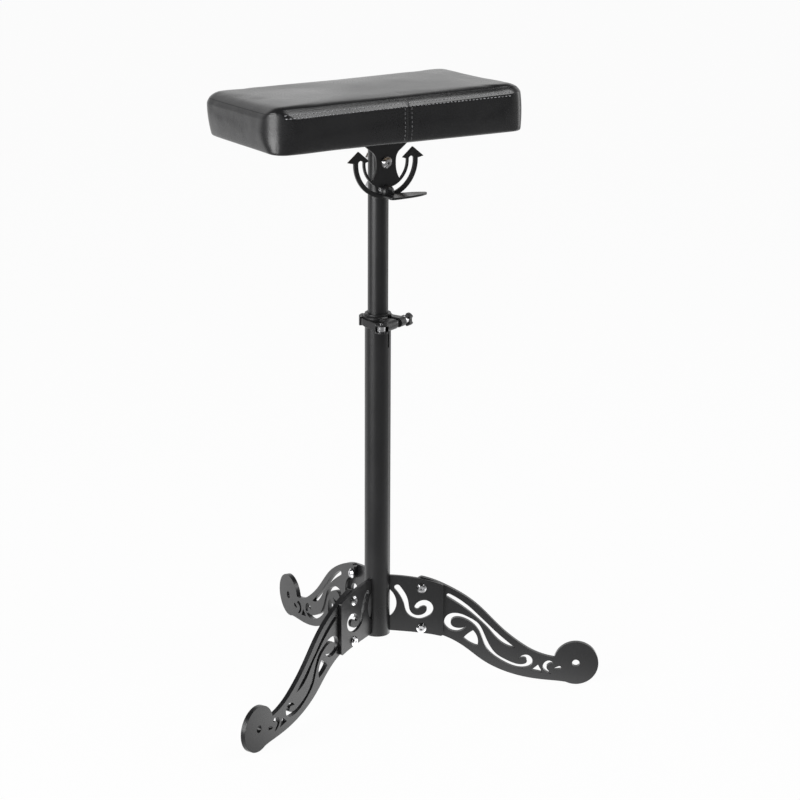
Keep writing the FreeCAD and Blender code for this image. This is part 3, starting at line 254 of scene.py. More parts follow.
def new_group(name: str, inputs: dict[str, float]) -> tuple[Graph, Callable[[str], Socket]]:
    """Start a node group.

    Args:
        name: the group's name.
        inputs: its number inputs and their defaults.

    Returns:
        The group's nodes, and what gives one of its inputs by name.
    """
    graph = Graph(bpy.data.node_groups.new(name, "ShaderNodeTree"))
    for label, default in inputs.items():
        socket = graph.tree.interface.new_socket(label, in_out="INPUT", socket_type="NodeSocketFloat")
        socket.default_value = default
    source = graph.add("NodeGroupInput")
    return graph, lambda label: source.outputs[label]


def close_group(graph: Graph, results: dict[str, Socket]) -> NodeTree:
    """Give a group its outputs.

    Args:
        graph: the group's nodes.
        results: what each output puts out.

    Returns:
        The finished group.
    """
    for label, socket in results.items():
        kind = "NodeSocketVector" if socket.type == "VECTOR" else "NodeSocketFloat"
        graph.tree.interface.new_socket(label, in_out="OUTPUT", socket_type=kind)
    out = graph.add("NodeGroupOutput")
    for label, socket in results.items():
        graph.plug(out.inputs[label], socket)
    return graph.tree


@cache
def surface_grain() -> NodeTree:
    """Fine and broad unevenness of a coated or moulded surface.

    Returns:
        The group, with the outputs Fine and Broad from 0 to 1.
    """
    graph, given = new_group("surface_grain", {"Fine Scale": 900.0, "Broad Scale": 14.0})
    place = graph.place()
    return close_group(graph, {"Fine": graph.noise(given("Fine Scale"), 2.0, place),
                               "Broad": graph.noise(given("Broad Scale"), 3.0, place)})


@cache
def worn_edges() -> NodeTree:
    """Rounded and slightly worn edges.

    Returns:
        The group, with the outputs Normal and Wear, a mask that is 1 where they are worn.
    """
    graph, given = new_group("worn_edges", {"Radius": 0.6 * MM, "Patch Scale": 60.0})
    bevel = graph.add("ShaderNodeBevel", samples=6, Radius=given("Radius")).outputs[0]
    bent = graph.ramp(graph.dot(bevel, graph.add("ShaderNodeNewGeometry").outputs["Normal"]), 0.995, 0.90)
    worn = graph.ramp(graph.noise(given("Patch Scale"), 4.0), 0.42, 0.66)
    return close_group(graph, {"Normal": bevel, "Wear": graph.times(bent, worn)})


@cache
def settled_dust() -> NodeTree:
    """Settled dust on what faces up.

    Returns:
        The group, with the output Dust from 0 to 1.
    """
    graph, given = new_group("settled_dust", {"Scale": 220.0})
    normal = graph.add("ShaderNodeNewGeometry").outputs["Normal"]
    up = graph.ramp(graph.add("ShaderNodeSeparateXYZ", Vector=normal).outputs["Z"], 0.55, 1.0)
    specks = graph.ramp(graph.noise(given("Scale"), 5.0, Roughness=0.7), 0.48, 0.75)
    return close_group(graph, {"Dust": graph.times(up, specks)})


@dataclass(frozen=True)
class Finish:
    """A coated, plated or moulded finish.

    Attributes:
        worn: the colour of worn edges.
        rough_spread: how far the roughness varies each way.
        edge: radius of the rounded edges.
        wear, dust: how much of each shows.
        patch_gain, patch_lift: how much lighter the palest patches are.
        dust_rough: what full dust adds to the roughness.
    """

    name: str
    colour: Rgb
    worn: Rgb
    roughness: float
    metallic: float = 0.0
    fine_scale: float = 900.0
    fine_depth: float = 0.05 * MM
    broad_scale: float = 14.0
    rough_spread: float = 0.08
    edge: float = 0.5 * MM
    wear: float = 0.35
    dust: float = 0.03
    patch_gain: float = 1.25
    patch_lift: float = 0.002
    dust_rough: float = 0.12

    def material(self) -> Material:
        """Build the finish.

        Returns:
            The material.
        """
        made, graph = new_material(self.name, self.colour)
        grain = graph.add("ShaderNodeGroup", node_tree=surface_grain(), Fine_Scale=self.fine_scale,
                          Broad_Scale=self.broad_scale)
        edges = graph.add("ShaderNodeGroup", node_tree=worn_edges(), Radius=self.edge)
        dust = graph.add("ShaderNodeGroup", node_tree=settled_dust()).outputs["Dust"]
        lighter = tuple(min(1.0, c * self.patch_gain + self.patch_lift) for c in self.colour)
        base = graph.blend(graph.ramp(grain.outputs["Broad"], *TINT_RANGE), self.colour, lighter)
        base = graph.blend(graph.times(edges.outputs["Wear"], self.wear), base, self.worn)
        base = graph.blend(graph.times(dust, self.dust), base, DUST_COLOUR)
        rough = graph.ramp(grain.outputs["Broad"], *ROUGH_RANGE, self.roughness - self.rough_spread,
                           self.roughness + self.rough_spread)
        rough = graph.math("ADD", rough, graph.times(dust, self.dust_rough))
        normal = graph.bump(grain.outputs["Fine"], self.fine_depth, Normal=edges.outputs["Normal"])
        graph.skin(base, rough, normal, Metallic=self.metallic)
        return made


@dataclass(frozen=True)
class FauxLeather:
    """Glossy faux leather: a pebbled grain with soft creases.

    Attributes:
        raised: the pebbles' own colour.
        smoother, rougher: how far the roughness goes down and up in patches.
        valley_rough: what the ground between the pebbles adds to the roughness.
        fine_share: how much of the pebbles' depth the fine grain has.
    """

    name: str
    colour: Rgb = (0.0120, 0.0120, 0.0128)
    raised: Rgb = (0.023, 0.023, 0.024)
    roughness: float = 0.25
    smoother: float = 0.05
    rougher: float = 0.07
    valley_rough: float = 0.08
    fine_scale: float = 2600.0
    fine_share: float = 0.4
    broad_scale: float = 11.0
    pebble: float = 1150.0
    pebble_depth: float = 0.028 * MM
    crease: float = 42.0
    crease_depth: float = 0.30 * MM
    dust: float = 0.02

    def material(self) -> Material:
        """Build the finish.

        Returns:
            The material.
        """
        made, graph = new_material(self.name, self.colour)
        place = graph.place()
        grain = graph.add("ShaderNodeGroup", node_tree=surface_grain(), Fine_Scale=self.fine_scale,
                          Broad_Scale=self.broad_scale)
        dust = graph.add("ShaderNodeGroup", node_tree=settled_dust()).outputs["Dust"]
        cells = graph.add("ShaderNodeTexVoronoi", Vector=place, Scale=self.pebble, feature="SMOOTH_F1")
        pebble = graph.ramp(cells.outputs["Distance"], 0.15, 0.75, 1.0, 0.0)
        tint = graph.times(pebble, graph.ramp(grain.outputs["Broad"], *TINT_RANGE, 0.25, 1.0))
        base = graph.blend(tint, self.colour, self.raised)
        base = graph.blend(graph.times(dust, self.dust), base, DUST_COLOUR)
        rough = graph.ramp(grain.outputs["Broad"], *ROUGH_RANGE, self.roughness - self.smoother,
                           self.roughness + self.rougher)
        rough = graph.math("ADD", rough, graph.times(graph.math("SUBTRACT", 1.0, pebble), self.valley_rough))
        soft = graph.bump(graph.noise(self.crease, 2.0, place, Distortion=0.6), self.crease_depth)
        height = graph.math("ADD", pebble, graph.times(grain.outputs["Fine"], self.fine_share))
        graph.skin(base, rough, graph.bump(height, self.pebble_depth, Normal=soft))
        return made


@dataclass(frozen=True)
class Plywood:
    """Bare birch plywood with its grain along the pad, both its tones darker than bare birch as painted shade where it
    lies under the pad.
    """

    name: str
    # Both tones are darker than bare birch: the grain is real, the overall darkening is painted shade under the pad.
    pale: Rgb = (0.34, 0.27, 0.19)
    dark: Rgb = (0.24, 0.18, 0.12)
    stretch: Triple = (6.0, 60.0, 420.0)
    fibre: float = 3.0
    fibre_depth: float = 0.2 * MM
    smooth: float = 0.55
    coarse: float = 0.75

    def material(self) -> Material:
        """Build the finish.

        Returns:
            The material.
        """
        made, graph = new_material(self.name)
        stretch = graph.add("ShaderNodeMapping", Vector=graph.place(), Scale=self.stretch).outputs[0]
        fibre = graph.noise(self.fibre, 6.0, stretch, Distortion=0.8)
        base = graph.blend(graph.ramp(fibre, 0.35, 0.65), self.pale, self.dark)
        rough = graph.ramp(fibre, *TINT_RANGE, self.smooth, self.coarse)
        graph.skin(base, rough, graph.bump(fibre, self.fibre_depth, 0.6))
        return made


@dataclass(frozen=True)
class Thread:
    """Twisted polyester sewing thread, its plies painted paler than the gaps between them: painted sheen on the plies
    and painted shade in the gaps.
    """

    name: str
    colour: Rgb
    painted_ply_sheen: float = 3.0
    twist: float = 520.0
    twist_depth: float = 0.12 * MM
    smooth: float = 0.28
    coarse: float = 0.42

    def material(self) -> Material:
        """Build the finish.

        Returns:
            The material.
        """
        made, graph = new_material(self.name)
        twist = graph.add("ShaderNodeTexWave", Vector=graph.place(), Scale=self.twist, Distortion=1.5,
                          bands_direction="DIAGONAL").outputs["Fac"]
        # Painted sheen: the plies are painted several times paler than the gaps between them.
        base = graph.blend(twist, self.colour, tuple(c * self.painted_ply_sheen for c in self.colour))
        graph.skin(base, graph.ramp(twist, 0.0, 1.0, self.smooth, self.coarse), graph.bump(twist, self.twist_depth))
        return made


POWDER_COAT = Finish("satin_powder_coat", (0.0115, 0.0115, 0.0123), (0.045, 0.045, 0.046), 0.33, fine_scale=1300.0,
                     fine_depth=0.035 * MM, wear=0.30)
ENAMEL = Finish("gloss_black_enamel", (0.009, 0.009, 0.010), (0.05, 0.05, 0.05), 0.40, fine_scale=420.0,
                edge=0.6 * MM)
CHROME = Finish("bright_chrome", (0.58, 0.58, 0.59), (0.74, 0.74, 0.74), 0.17, metallic=1.0, fine_scale=500.0,
                fine_depth=0.012 * MM, rough_spread=0.05, edge=0.4 * MM, wear=0.2, dust=0.0)
MOULDED = Finish("moulded_black_plastic", (0.014, 0.014, 0.015), (0.05, 0.05, 0.05), 0.40, fine_scale=1600.0,
                 wear=0.25)
# Near-black finish of the line sunk in the seam's groove: painted shadow of the seam's gap.
SEAM_SHADOW = Finish("painted_seam_shadow", (0.003, 0.003, 0.0034), (0.006, 0.006, 0.006), 0.70, fine_scale=2200.0,
              fine_depth=0.02 * MM, edge=0.2 * MM, wear=0.1, dust=0.0)
LEATHER = FauxLeather("glossy_faux_leather")
SHADED_BIRCH = Plywood("birch_plywood_painted_shade")
# The band's thread is black; its pale colour is a painted highlight standing in for the glints on the stitches.
GLINT_PAINTED_THREAD = Thread("sewing_thread_painted_glint", (0.150, 0.150, 0.156))
JOIN_THREAD = Thread("flat_sewing_thread", (0.045, 0.045, 0.047))


# Mesh helpers


def shade_smooth(mesh: bpy.types.Mesh) -> None:
    """Let a mesh's faces be shaded as one rounded surface."""
    for polygon in mesh.polygons:
        polygon.use_smooth = True


def mesh_object(name: str, points: Sequence[Sequence[float]], faces: Sequence[Sequence[int]]) -> Object:
    """Make an object from points and faces.

    Args:
        name: the piece's name.
        points: places in metres, in the row frame.
        faces: each face's point numbers.

    Returns:
        The smooth-shaded object, linked to the scene.
    """
    mesh = bpy.data.meshes.new(name)
    mesh.from_pydata([tuple(p) for p in points], [], [tuple(f) for f in faces])
    mesh.update()
    shade_smooth(mesh)
    made = bpy.data.objects.new(name, mesh)
    bpy.context.scene.collection.objects.link(made)
    return made


def circle(middle: Vector, across: Vector, up: Vector, radius: float, count: int) -> list[Vector]:
    """Points round a circle in order, the first in the direction across, a quarter turn on in the direction up."""
    angles = [2 * math.pi * j / count for j in range(count)]
    return [middle + (across * math.cos(a) + up * math.sin(a)) * radius for a in angles]


def bake_modifiers(piece: Object) -> None:
    """Replace a piece's mesh by its evaluated one and drop its modifiers.

    Args:
        piece: the object, which keeps its name.
    """
    graph = bpy.context.evaluated_depsgraph_get()
    final = bpy.data.meshes.new_from_object(piece.evaluated_get(graph))
    piece.modifiers.clear()
    old = piece.data
    piece.data = final
    bpy.data.meshes.remove(old)


CLOTH = {"quality": 6, "mass": 0.35, "tension_stiffness": 28.0, "compression_stiffness": 12.0, "shear_stiffness": 10.0,
         "bending_stiffness": 1.2, "use_pressure": True, "uniform_pressure_force": 4.0, "vertex_group_mass": "held"}

# How often the folds of the pad's side come along X, Y and Z, per metre.
FINE_FOLDS, WIDE_FOLDS = Vector((55, 55, 9)), Vector((16, 16, 10))
# Where the wide folds are read, so that they don't follow the fine ones.
WIDE_START = Vector((7, 3, 1))
# A face looks down when its normal's Z is below this.
DOWNWARD = -0.9


@dataclass
class Pad:
    """The padded top: one sewn cover over foam, turned under the board, with its topstitching.

    Attributes:
        grow_long, grow_wide, shift: how far the cover stands past the cushion, and its move along X.
        zone_shares, band_shares: the lattice's lines in the corner zone, and on the sewn band.
        edge_in, band_low: where the top starts to round down, and the band's start below the top.
        band_taper, band_lead: how much narrower the band is at the right, and the lattice row under it.
        band_bow, line_gap: how bowed the band is, and how near a plain lattice line may be to a seam's, in pitches.
        draw, bulge: how far the side is drawn in at its foot, and stands out in its middle.
        lean, rise_front, rise_back: how much higher the right end, the front and the back stand.
        hem_wave, hem_often: how far and how often per metre the hem wavers.
        hem_lap, rim_share: its gap below the board, and where its edge turns.
        cap, blown_share: the most that the cloth may move a point, and how much of that is kept.
        fold_*: depth of the folds in the side, more at the ends, and on the flats.
        tuck_*, sag_*: how far the foot of the corners stands out or in, and the underside hangs.
        soft_foot, soft_rise: how much the front left corner is softened at its foot, and above it.
        row_stop, join_start: where the rows of stitches end, as shares of the corner and of the rounding.
        join_off: how far before the cushion the cover's surface is looked for at the join.
        step_least, step_most: how far apart stitches of one row may be, in pitches.
    """

    grow_long: float = 5.5 * MM
    grow_wide: float = -1.0 * MM
    shift: float = -4.0 * MM
    corner: float = 21.0 * MM
    zone_shares: Shares = (1.0, 0.94, 0.86, 0.76, 0.62, 0.45, 0.24, 0.0)
    soft_corner: float = 35.0 * MM
    edge_in: float = 16.0 * MM
    band_low: float = 10.9 * MM
    band_taper: float = 0.20
    band_shares: Shares = (0.0, 0.12, 0.38, 0.68, 1.0)
    band_lead: float = 1.3 * MM
    band_bow: float = 0.25
    seam_drop: float = 2.4 * MM
    seam_inset: float = 7.5 * MM
    end_drop: float = 5.6 * MM
    end_inset: float = 2.0 * MM
    draw: float = 3.0 * MM
    bulge: float = 0.3 * MM
    lean: float = 2.0 * MM
    rise_front: float = 3.6 * MM
    rise_back: float = -1.4 * MM
    under_round: float = 2.5 * MM
    crown: float = 1.0 * MM
    pitch: float = 5.0 * MM
    line_gap: float = 0.45
    side_rows: int = 8
    join_x: float = 7.0 * MM
    join_lines: Shares = (-2.6 * MM, -1.2 * MM, 0.0, 1.2 * MM, 2.6 * MM)
    hem_in: float = 24.0 * MM
    hem_wave: float = 1.2 * MM
    hem_often: float = 90.0
    hem_lap: float = 0.05 * MM
    bed_gap: float = 0.3 * MM
    rim_share: float = 0.93
    frames: int = 20
    cap: float = 1.6 * MM
    blown_share: float = 0.6
    fold_fine: Pair = (0.15 * MM, 0.55 * MM)
    fold_wide: Pair = (0.25 * MM, 0.6 * MM)
    fold_flat: float = 0.12 * MM
    tuck_left: float = 1.5 * MM
    tuck_back: float = 4.0 * MM
    tuck_front: float = 10.0 * MM
    tuck_in: float = 1.0 * MM
    sag_front: float = 1.2 * MM
    sag_left: float = 3.6 * MM
    sag_at: float = -0.80
    sag_reach: float = 0.22
    soft_foot: float = 0.3
    soft_rise: float = 2.2
    seam_deep: float = 0.4 * MM
    seam_proud: float = 0.2
    # Thickness of the near-black line in the seam's groove, which is painted shadow of its gap.
    seam_shadow_thick: float = 0.9 * MM
    row_low: float = 0.28
    row_high: float = 0.64
    join_gap: float = 4.6 * MM
    join_off: float = 2.0 * MM
    stitch_long: float = 3.7 * MM
    stitch_pitch: float = 5.0 * MM
    stitch_thick: float = 1.25 * MM
    stitch_tip: float = 0.12
    stitch_rise: float = 0.25
    stitch_dip: float = 0.75
    # How deep that painted seam-shadow line sits in the groove, as a share of its thickness.
    seam_shadow_sunk: float = 0.6
    row_stop: float = 0.9
    join_start: float = 1.5
    step_least: float = 0.4
    step_most: float = 4.0
    low: Vector = field(init=False)
    high: Vector = field(init=False)
    middle: Vector = field(init=False)
    hem_low: float = field(init=False)
    half_long: float = field(init=False)
    half_wide: float = field(init=False)
    side_top: float = field(init=False)
    ring: list[int] = field(init=False)

    def __post_init__(self) -> None:
        """Read the pad's place from the frame."""
        self.low, self.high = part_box("pad_cushion")
        self.hem_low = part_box("cover_hem")[0].z
        self.middle = (self.low + self.high) / 2 + Vector((self.shift, 0.0, 0.0))
        self.half_long = (self.high.x - self.low.x) / 2 + self.grow_long
        self.half_wide = (self.high.y - self.low.y) / 2 + self.grow_wide
        self.side_top = self.high.z - self.hem_low - self.crown

    # Form of the cover

    def _axis(self, half: float, extra: Iterable[float] = ()) -> list[float]:
        """Lattice lines along one plan axis, close together near the edges.

        Args:
            half: half the pad's size along the axis.
            extra: further lines, such as a seam's.

        Returns:
            The lines from the middle, lowest first.
        """
        zone = [half - self.corner * (1 - m) for m in self.zone_shares]
        inner = half - self.corner
        count = max(2, round(2 * inner / self.pitch))
        plain = [-inner + 2 * inner * i / count for i in range(1, count)]
        marks = sorted(extra)
        plain = [p for p in plain if all(abs(p - m) > self.pitch * self.line_gap for m in marks)]
        return sorted([-z for z in zone] + plain + marks + zone)

    def _seam(self, end: float) -> Pair:
        """How far the seam is below the top and in from the outline, 0 along the pad and 1 at its ends."""
        return (self.seam_drop + (self.end_drop - self.seam_drop) * end,
                self.seam_inset + (self.end_inset - self.seam_inset) * end)

    def _band(self, share: float, end: float) -> Pair:
        """The sewn band that slopes from the side up to the seam.

        Args:
            share: 0 at the band's lower edge, 1 at the seam.
            end: 0 along the front and back, 1 at the pad's ends.

        Returns:
            How far the place is below the top, and in from the outline.
        """
        drop, inset = self._seam(end)
        bowed = (1 - self.band_bow) * share + self.band_bow * share * share
        return self.band_low + (drop - self.band_low) * share, inset * bowed

    def _wall_rows(self, end: float) -> list[Pair]:
        """Rows of the side from the underside to the seam.

        Args:
            end: 0 along the front and back, 1 at the pad's ends.

        Returns:
            Each row's height, and how far it is drawn in.
        """
        rows = []
        for turn in (-90, -60, -30, 0):
            angle = math.radians(turn)
            rows.append((self.under_round * (1 + math.sin(angle)), self.under_round * (1 - math.cos(angle))))
        straight = self.side_top - self.band_low - self.under_round
        for i in range(1, self.side_rows):
            rows.append((self.under_round + straight * i / self.side_rows, 0.0))
        rows.append((self.side_top - self.band_low - self.band_lead, 0.0))
        for share in self.band_shares:
            drop, inset = self._band(share, end)
            rows.append((self.side_top - drop, inset))
        shaped = []
        for high, inset in rows:
            share = high / (self.side_top - self.band_low)
            swell = self.bulge * math.sin(math.pi * share) if share < 1 else 0.0
            shaped.append((high, inset + self.draw * max(0.0, 1 - share) ** 2 - swell))
        return shaped

    def _top_point(self, out: float, end: float) -> Pair:
        """Height and inset on the top face, from its share of the corner zone.

        Args:
            out: 1 at the seam, 0 where the corner zone ends.
            end: 0 along the front and back, 1 at the pad's ends.

        Returns:
            The height below the crown and the inset from the outline.
        """
        drop, seam_in = self._seam(end)
        inset = seam_in + (self.corner - seam_in) * (1 - out)
        if inset >= self.edge_in:
            return self.side_top, inset
        rest = 1 - (inset - seam_in) / (self.edge_in - seam_in)
        return self.side_top - drop * rest * rest, inset

    def _place(self, u: float, v: float, side: Side, row: Sequence[Pair]) -> Vector:
        """Where a lattice point lies.

        Args:
            u: lattice place along the pad.
            v: lattice place across it.
            side: the face that the point is on.
            row: height and inset of its row along the pad and at its ends, for a wall or underside point.

        Returns:
            The point in the row frame.
        """
        inner_u, inner_v = self.half_long - self.corner, self.half_wide - self.corner
        cu, cv = max(-inner_u, min(inner_u, u)), max(-inner_v, min(inner_v, v))
        du, dv = (u - cu) / self.corner, (v - cv) / self.corner
        out = max(abs(du), abs(dv))
        length = math.hypot(du, dv) or 1.0
        end = (du / length) ** 2
        row_high, row_in = (first + (second - first) * end for first, second in zip(*row))
        taper = 1 - self.band_taper * max(-1.0, min(1.0, u / self.half_long))
        if side is Side.TOP:
            high, inset = self._top_point(out, end) if out else (self.side_top, self.corner)
            lift = max(0.0, 1 - (u / self.half_long) ** 2) * max(0.0, 1 - (v / self.half_wide) ** 2)
            high = self.side_top - (self.side_top - high) * taper + self.crown * lift
        elif side is Side.WALL:
            drop, straight = self.side_top - row_high, self.side_top - self.band_low
            high, inset = self.side_top - drop * taper, row_in
            if drop > self.band_low:
                high = row_high * (self.side_top - self.band_low * taper) / straight
        else:
            high, inset = row_high, row_in + (self.corner - row_in) * (1 - out)
        radius = self.corner - inset if out else 0.0
        x, y = cu + du / length * radius, cv + dv / length * radius
        return Vector((x + self.middle.x, y + self.middle.y, high + self.hem_low))

    def _lattice(self) -> Object:
        """Lay out the closed form before it is blown up, with rows and columns that follow its seams.

        Returns:
            The cover, with the groups held, seam and beside_seam.
        """
        marks = [self.join_x + line for line in self.join_lines]
        us, vs = self._axis(self.half_long, marks), self._axis(self.half_wide)
        rows = list(zip(self._wall_rows(0.0), self._wall_rows(1.0)))
        points: list[Vector] = []
        index: dict[tuple[int, int, int], int] = {}
        last_u, last_v, last_w = len(us) - 1, len(vs) - 1, len(rows) - 1

        def at(i: int, j: int, k: int) -> int:
            """Number a lattice point, which is made when first asked for.

            Args:
                i, j, k: its column along the pad, across it and its row from the underside.

            Returns:
                The point's number.
            """
            key = (i, j, k)
            if key not in index:
                if i in (0, last_u) or j in (0, last_v):
                    place = self._place(us[i], vs[j], Side.WALL, rows[k])
                else:
                    place = self._place(us[i], vs[j], Side.TOP if k == last_w else Side.BOTTOM, rows[0])
                index[key] = len(points)
                points.append(place)
            return index[key]

        faces = []
        for i in range(last_u):
            for j in range(last_v):
                faces.append((at(i, j, last_w), at(i + 1, j, last_w), at(i + 1, j + 1, last_w), at(i, j + 1, last_w)))
                faces.append((at(i, j, 0), at(i, j + 1, 0), at(i + 1, j + 1, 0), at(i + 1, j, 0)))
        for k in range(last_w):
            for i in range(last_u):
                faces.append((at(i, 0, k), at(i + 1, 0, k), at(i + 1, 0, k + 1), at(i, 0, k + 1)))
                faces.append((at(i, last_v, k), at(i, last_v, k + 1), at(i + 1, last_v, k + 1), at(i + 1, last_v, k)))
            for j in range(last_v):
                faces.append((at(0, j, k), at(0, j, k + 1), at(0, j + 1, k + 1), at(0, j + 1, k)))
                faces.append((at(last_u, j, k), at(last_u, j + 1, k), at(last_u, j + 1, k + 1), at(last_u, j, k + 1)))
        cover = mesh_object("pad_cover", points, faces)
        rim = {key: n for key, n in index.items() if key[0] in (0, last_u) or key[1] in (0, last_v)}
        join, foot = us.index(marks[len(marks) // 2]), 2
        self.ring = [n for (i, j, k), n in rim.items() if k == last_w]
        on_join = [n for (i, j, k), n in rim.items() if i == join and j == 0 and foot < k < last_w]
        groups = {
            "held": [n for (i, j, k), n in index.items() if k <= foot],
            "seam": self.ring + on_join,
            "beside_seam": [n for (i, j, k), n in rim.items()
                            if k == last_w - 2 or (j == 0 and abs(i - join) == 2 and foot < k < last_w - 2)],
        }
        for name, numbers in groups.items():
            cover.vertex_groups.new(name=name).add(numbers, 1.0, "REPLACE")
        return cover

    def _swell(self, cover: Object) -> None:
        """Blow the cover up as cloth over its foam, and hold how far a point may go.

        Args:
            cover: the closed form, whose points are moved.
        """
        rest = [v.co.copy() for v in cover.data.vertices]
        cloth = cover.modifiers.new("foam", "CLOTH")
        for name, value in CLOTH.items():
            setattr(cloth.settings, name, value)
        cloth.settings.effector_weights.gravity = 0.0
        cloth.point_cache.frame_start, cloth.point_cache.frame_end = 1, self.frames
        scene = bpy.context.scene
        for frame in range(1, self.frames + 1):
            scene.frame_set(frame)
        graph = bpy.context.evaluated_depsgraph_get()
        blown = [v.co.copy() for v in cover.evaluated_get(graph).data.vertices]
        cover.modifiers.remove(cloth)
        scene.frame_set(1)
        for vertex, start, end in zip(cover.data.vertices, rest, blown):
            move = end - start
            length = move.length
            if length > 0:
                move *= self.cap * math.tanh(length / self.cap) / length
            vertex.co = start + move * self.blown_share

    def _sew(self, cover: Object) -> None:
        """Pull the seams in, let the cover stand proud beside them, and lay soft folds in its sides.

        Args:
            cover: the blown form, whose points are moved.
        """
        mesh = cover.data
        groups = {g.name: g.index for g in cover.vertex_groups}
        normals = [v.normal.copy() for v in mesh.vertices]
        for vertex, normal in zip(mesh.vertices, normals):
            names = {g.group for g in vertex.groups}
            if groups["seam"] in names:
                vertex.co -= normal * self.seam_deep
            elif groups["beside_seam"] in names:
                vertex.co += normal * self.seam_deep * self.seam_proud
            flat = abs(normal.z)
            place = vertex.co
            share = max(0.0, min(1.0, (place.z - self.hem_low) / self.side_top))
            fold = noise.noise(place * FINE_FOLDS)
            wide = noise.noise(place * WIDE_FOLDS + WIDE_START)
            fade = math.sin(math.pi * share) * (1 - flat)
            fine_size, wide_size = (size[0] + size[1] * normal.x ** 2 for size in (self.fold_fine, self.fold_wide))
            vertex.co += normal * fade * (fine_size * fold + wide_size * wide)
            vertex.co += normal * flat * self.fold_flat * wide
            vertex.co += self._slump(place - self.middle, share)
            vertex.co += self._soften(place - self.middle, share)

    def _slump(self, place: Vector, share: float) -> Vector:
        """How far the cover's corners stand off the even form near the underside, from how they are folded.

        Args:
            place: the point from the pad's middle.
            share: 0 at the underside, 1 at the top of the side.

        Returns:
            The move.
        """
        low = (1 - share) ** 2
        left = max(0.0, -place.x / self.half_long)
        right = max(0.0, place.x / self.half_long) ** 6
        back = max(0.0, place.y / self.half_wide) ** 4
        front = max(0.0, -place.y / self.half_wide) ** 4
        rear = 0.5 + 0.5 * place.y / self.half_wide
        sag = math.exp(-((place.x / self.half_long - self.sag_at) / self.sag_reach) ** 2)
        out = low * (left ** 6 * (self.tuck_left + self.tuck_back * back) - right * back * self.tuck_in)
        out += (1 - share) * right * front * self.tuck_front
        down = low ** 2 * front * sag * self.sag_front + low * left ** 3 * rear * self.sag_left
        rise = self.rise_back + (self.rise_front - self.rise_back) * (1 - rear)
        lift = share * (rise + self.lean * place.x / self.half_long)
        return Vector((out, -low * back * self.tuck_in, lift - down))

    def _soften(self, place: Vector, share: float) -> Vector:
        """How far the front left corner stands back above its underside, where the foam fills it out less.

        Args:
            place: the point from the pad's middle.
            share: 0 at the underside, 1 at the top of the side.

        Returns:
            The move.
        """
        off_x, off_y = self.soft_corner - place.x - self.half_long, self.soft_corner - place.y - self.half_wide
        reach = math.hypot(off_x, off_y)
        if off_x <= 0 or off_y <= 0 or reach <= self.soft_corner:
            return Vector((0.0, 0.0, 0.0))
        pull = (reach - self.soft_corner) / reach * min(1.0, self.soft_foot + self.soft_rise * share)
        return Vector((off_x * pull, off_y * pull, 0.0))

    def _turn_under(self, cover: Object) -> None:
        """Open the underside inside the hem and run the cover back round the board's bed.

        Args:
            cover: the closed form, whose mesh is changed.
        """
        board_low, board_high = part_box("pad_board")
        inner_x, inner_y = self.half_long - self.hem_in, self.half_wide - self.hem_in
        work = bmesh.new()
        work.from_mesh(cover.data)
        doomed = []
        for face in work.faces:
            centre = face.calc_center_median() - self.middle
            if face.normal.z < DOWNWARD and abs(centre.x) < inner_x and abs(centre.y) < inner_y:
                doomed.append(face)
        bmesh.ops.delete(work, geom=doomed, context="FACES")
        rim = [e for e in work.edges if e.is_boundary]
        corners = {v for e in rim for v in e.verts}
        for vertex in corners:
            wave = noise.noise(vertex.co * self.hem_often) * self.hem_wave
            vertex.co.x += wave * (1 if vertex.co.x > self.middle.x else -1)
            vertex.co.y += wave * (1 if vertex.co.y > self.middle.y else -1)

        def raise_rim(edges: list[bmesh.types.BMEdge], move: Callable[[Vector], Vector]) -> list[bmesh.types.BMEdge]:
            """Extrude the open rim and move the new one.

            Args:
                edges: the rim's edges.
                move: gives a new point's place from its old one.

            Returns:
                The new rim's edges.
            """
            new = bmesh.ops.extrude_edge_only(work, edges=edges)["geom"]
            for item in new:
                if isinstance(item, bmesh.types.BMVert):
                    item.co = move(item.co)
            return [item for item in new if isinstance(item, bmesh.types.BMEdge) and item.is_boundary]

        wall_x = max(abs(board_low.x), abs(board_high.x)) + self.bed_gap
        half_y = (board_high.y - board_low.y) / 2 + self.bed_gap
        hem_top = board_low.z - self.hem_lap

        def outward(place: Vector) -> Vector:
            """Push a point of the rim out to the board's edge.

            Args:
                place: the point.

            Returns:
                Its new place.
            """
            x, y = place.x - self.middle.x, place.y - self.middle.y
            reach_x, reach_y = abs(x) / inner_x, abs(y) / inner_y
            new_x = math.copysign(wall_x, x) if reach_x > self.rim_share else x
            new_y = math.copysign(half_y, y) if reach_y > self.rim_share else y
            return Vector((new_x + self.middle.x, new_y + self.middle.y, hem_top))

        rim = raise_rim(rim, lambda p: Vector((p.x, p.y, hem_top)))
        rim = raise_rim(rim, outward)
        rim = raise_rim(rim, lambda p: Vector((p.x, p.y, board_high.z + self.bed_gap)))
        bmesh.ops.contextual_create(work, geom=rim)
        bmesh.ops.recalc_face_normals(work, faces=work.faces)
        work.to_mesh(cover.data)
        work.free()
        shade_smooth(cover.data)

    def _seam_path(self, share: float, step: float) -> list[Vector]:
        """Points along the front and the back of the pad on one line of its sewn band.

        Args:
            share: how far up the band the line is.
            step: distance between the points.

        Returns:
            Points round the pad, for stitches to be put at.
        """
        drop, inset = self._band(share, 0.0)
        high = self.hem_low + self.side_top - drop
        half_y = self.half_wide - inset
        reach = self.half_long - self.corner * self.row_stop
        count = int(2 * reach / step)
        points = []
        for side in (-1, 1):
            for i in range(count + 1):
                x = side * (reach - 2 * reach * i / count)
                low = high + drop * self.band_taper * x / self.half_long
                points.append(Vector((self.middle.x + x, self.middle.y + side * half_y, low)))
        return points

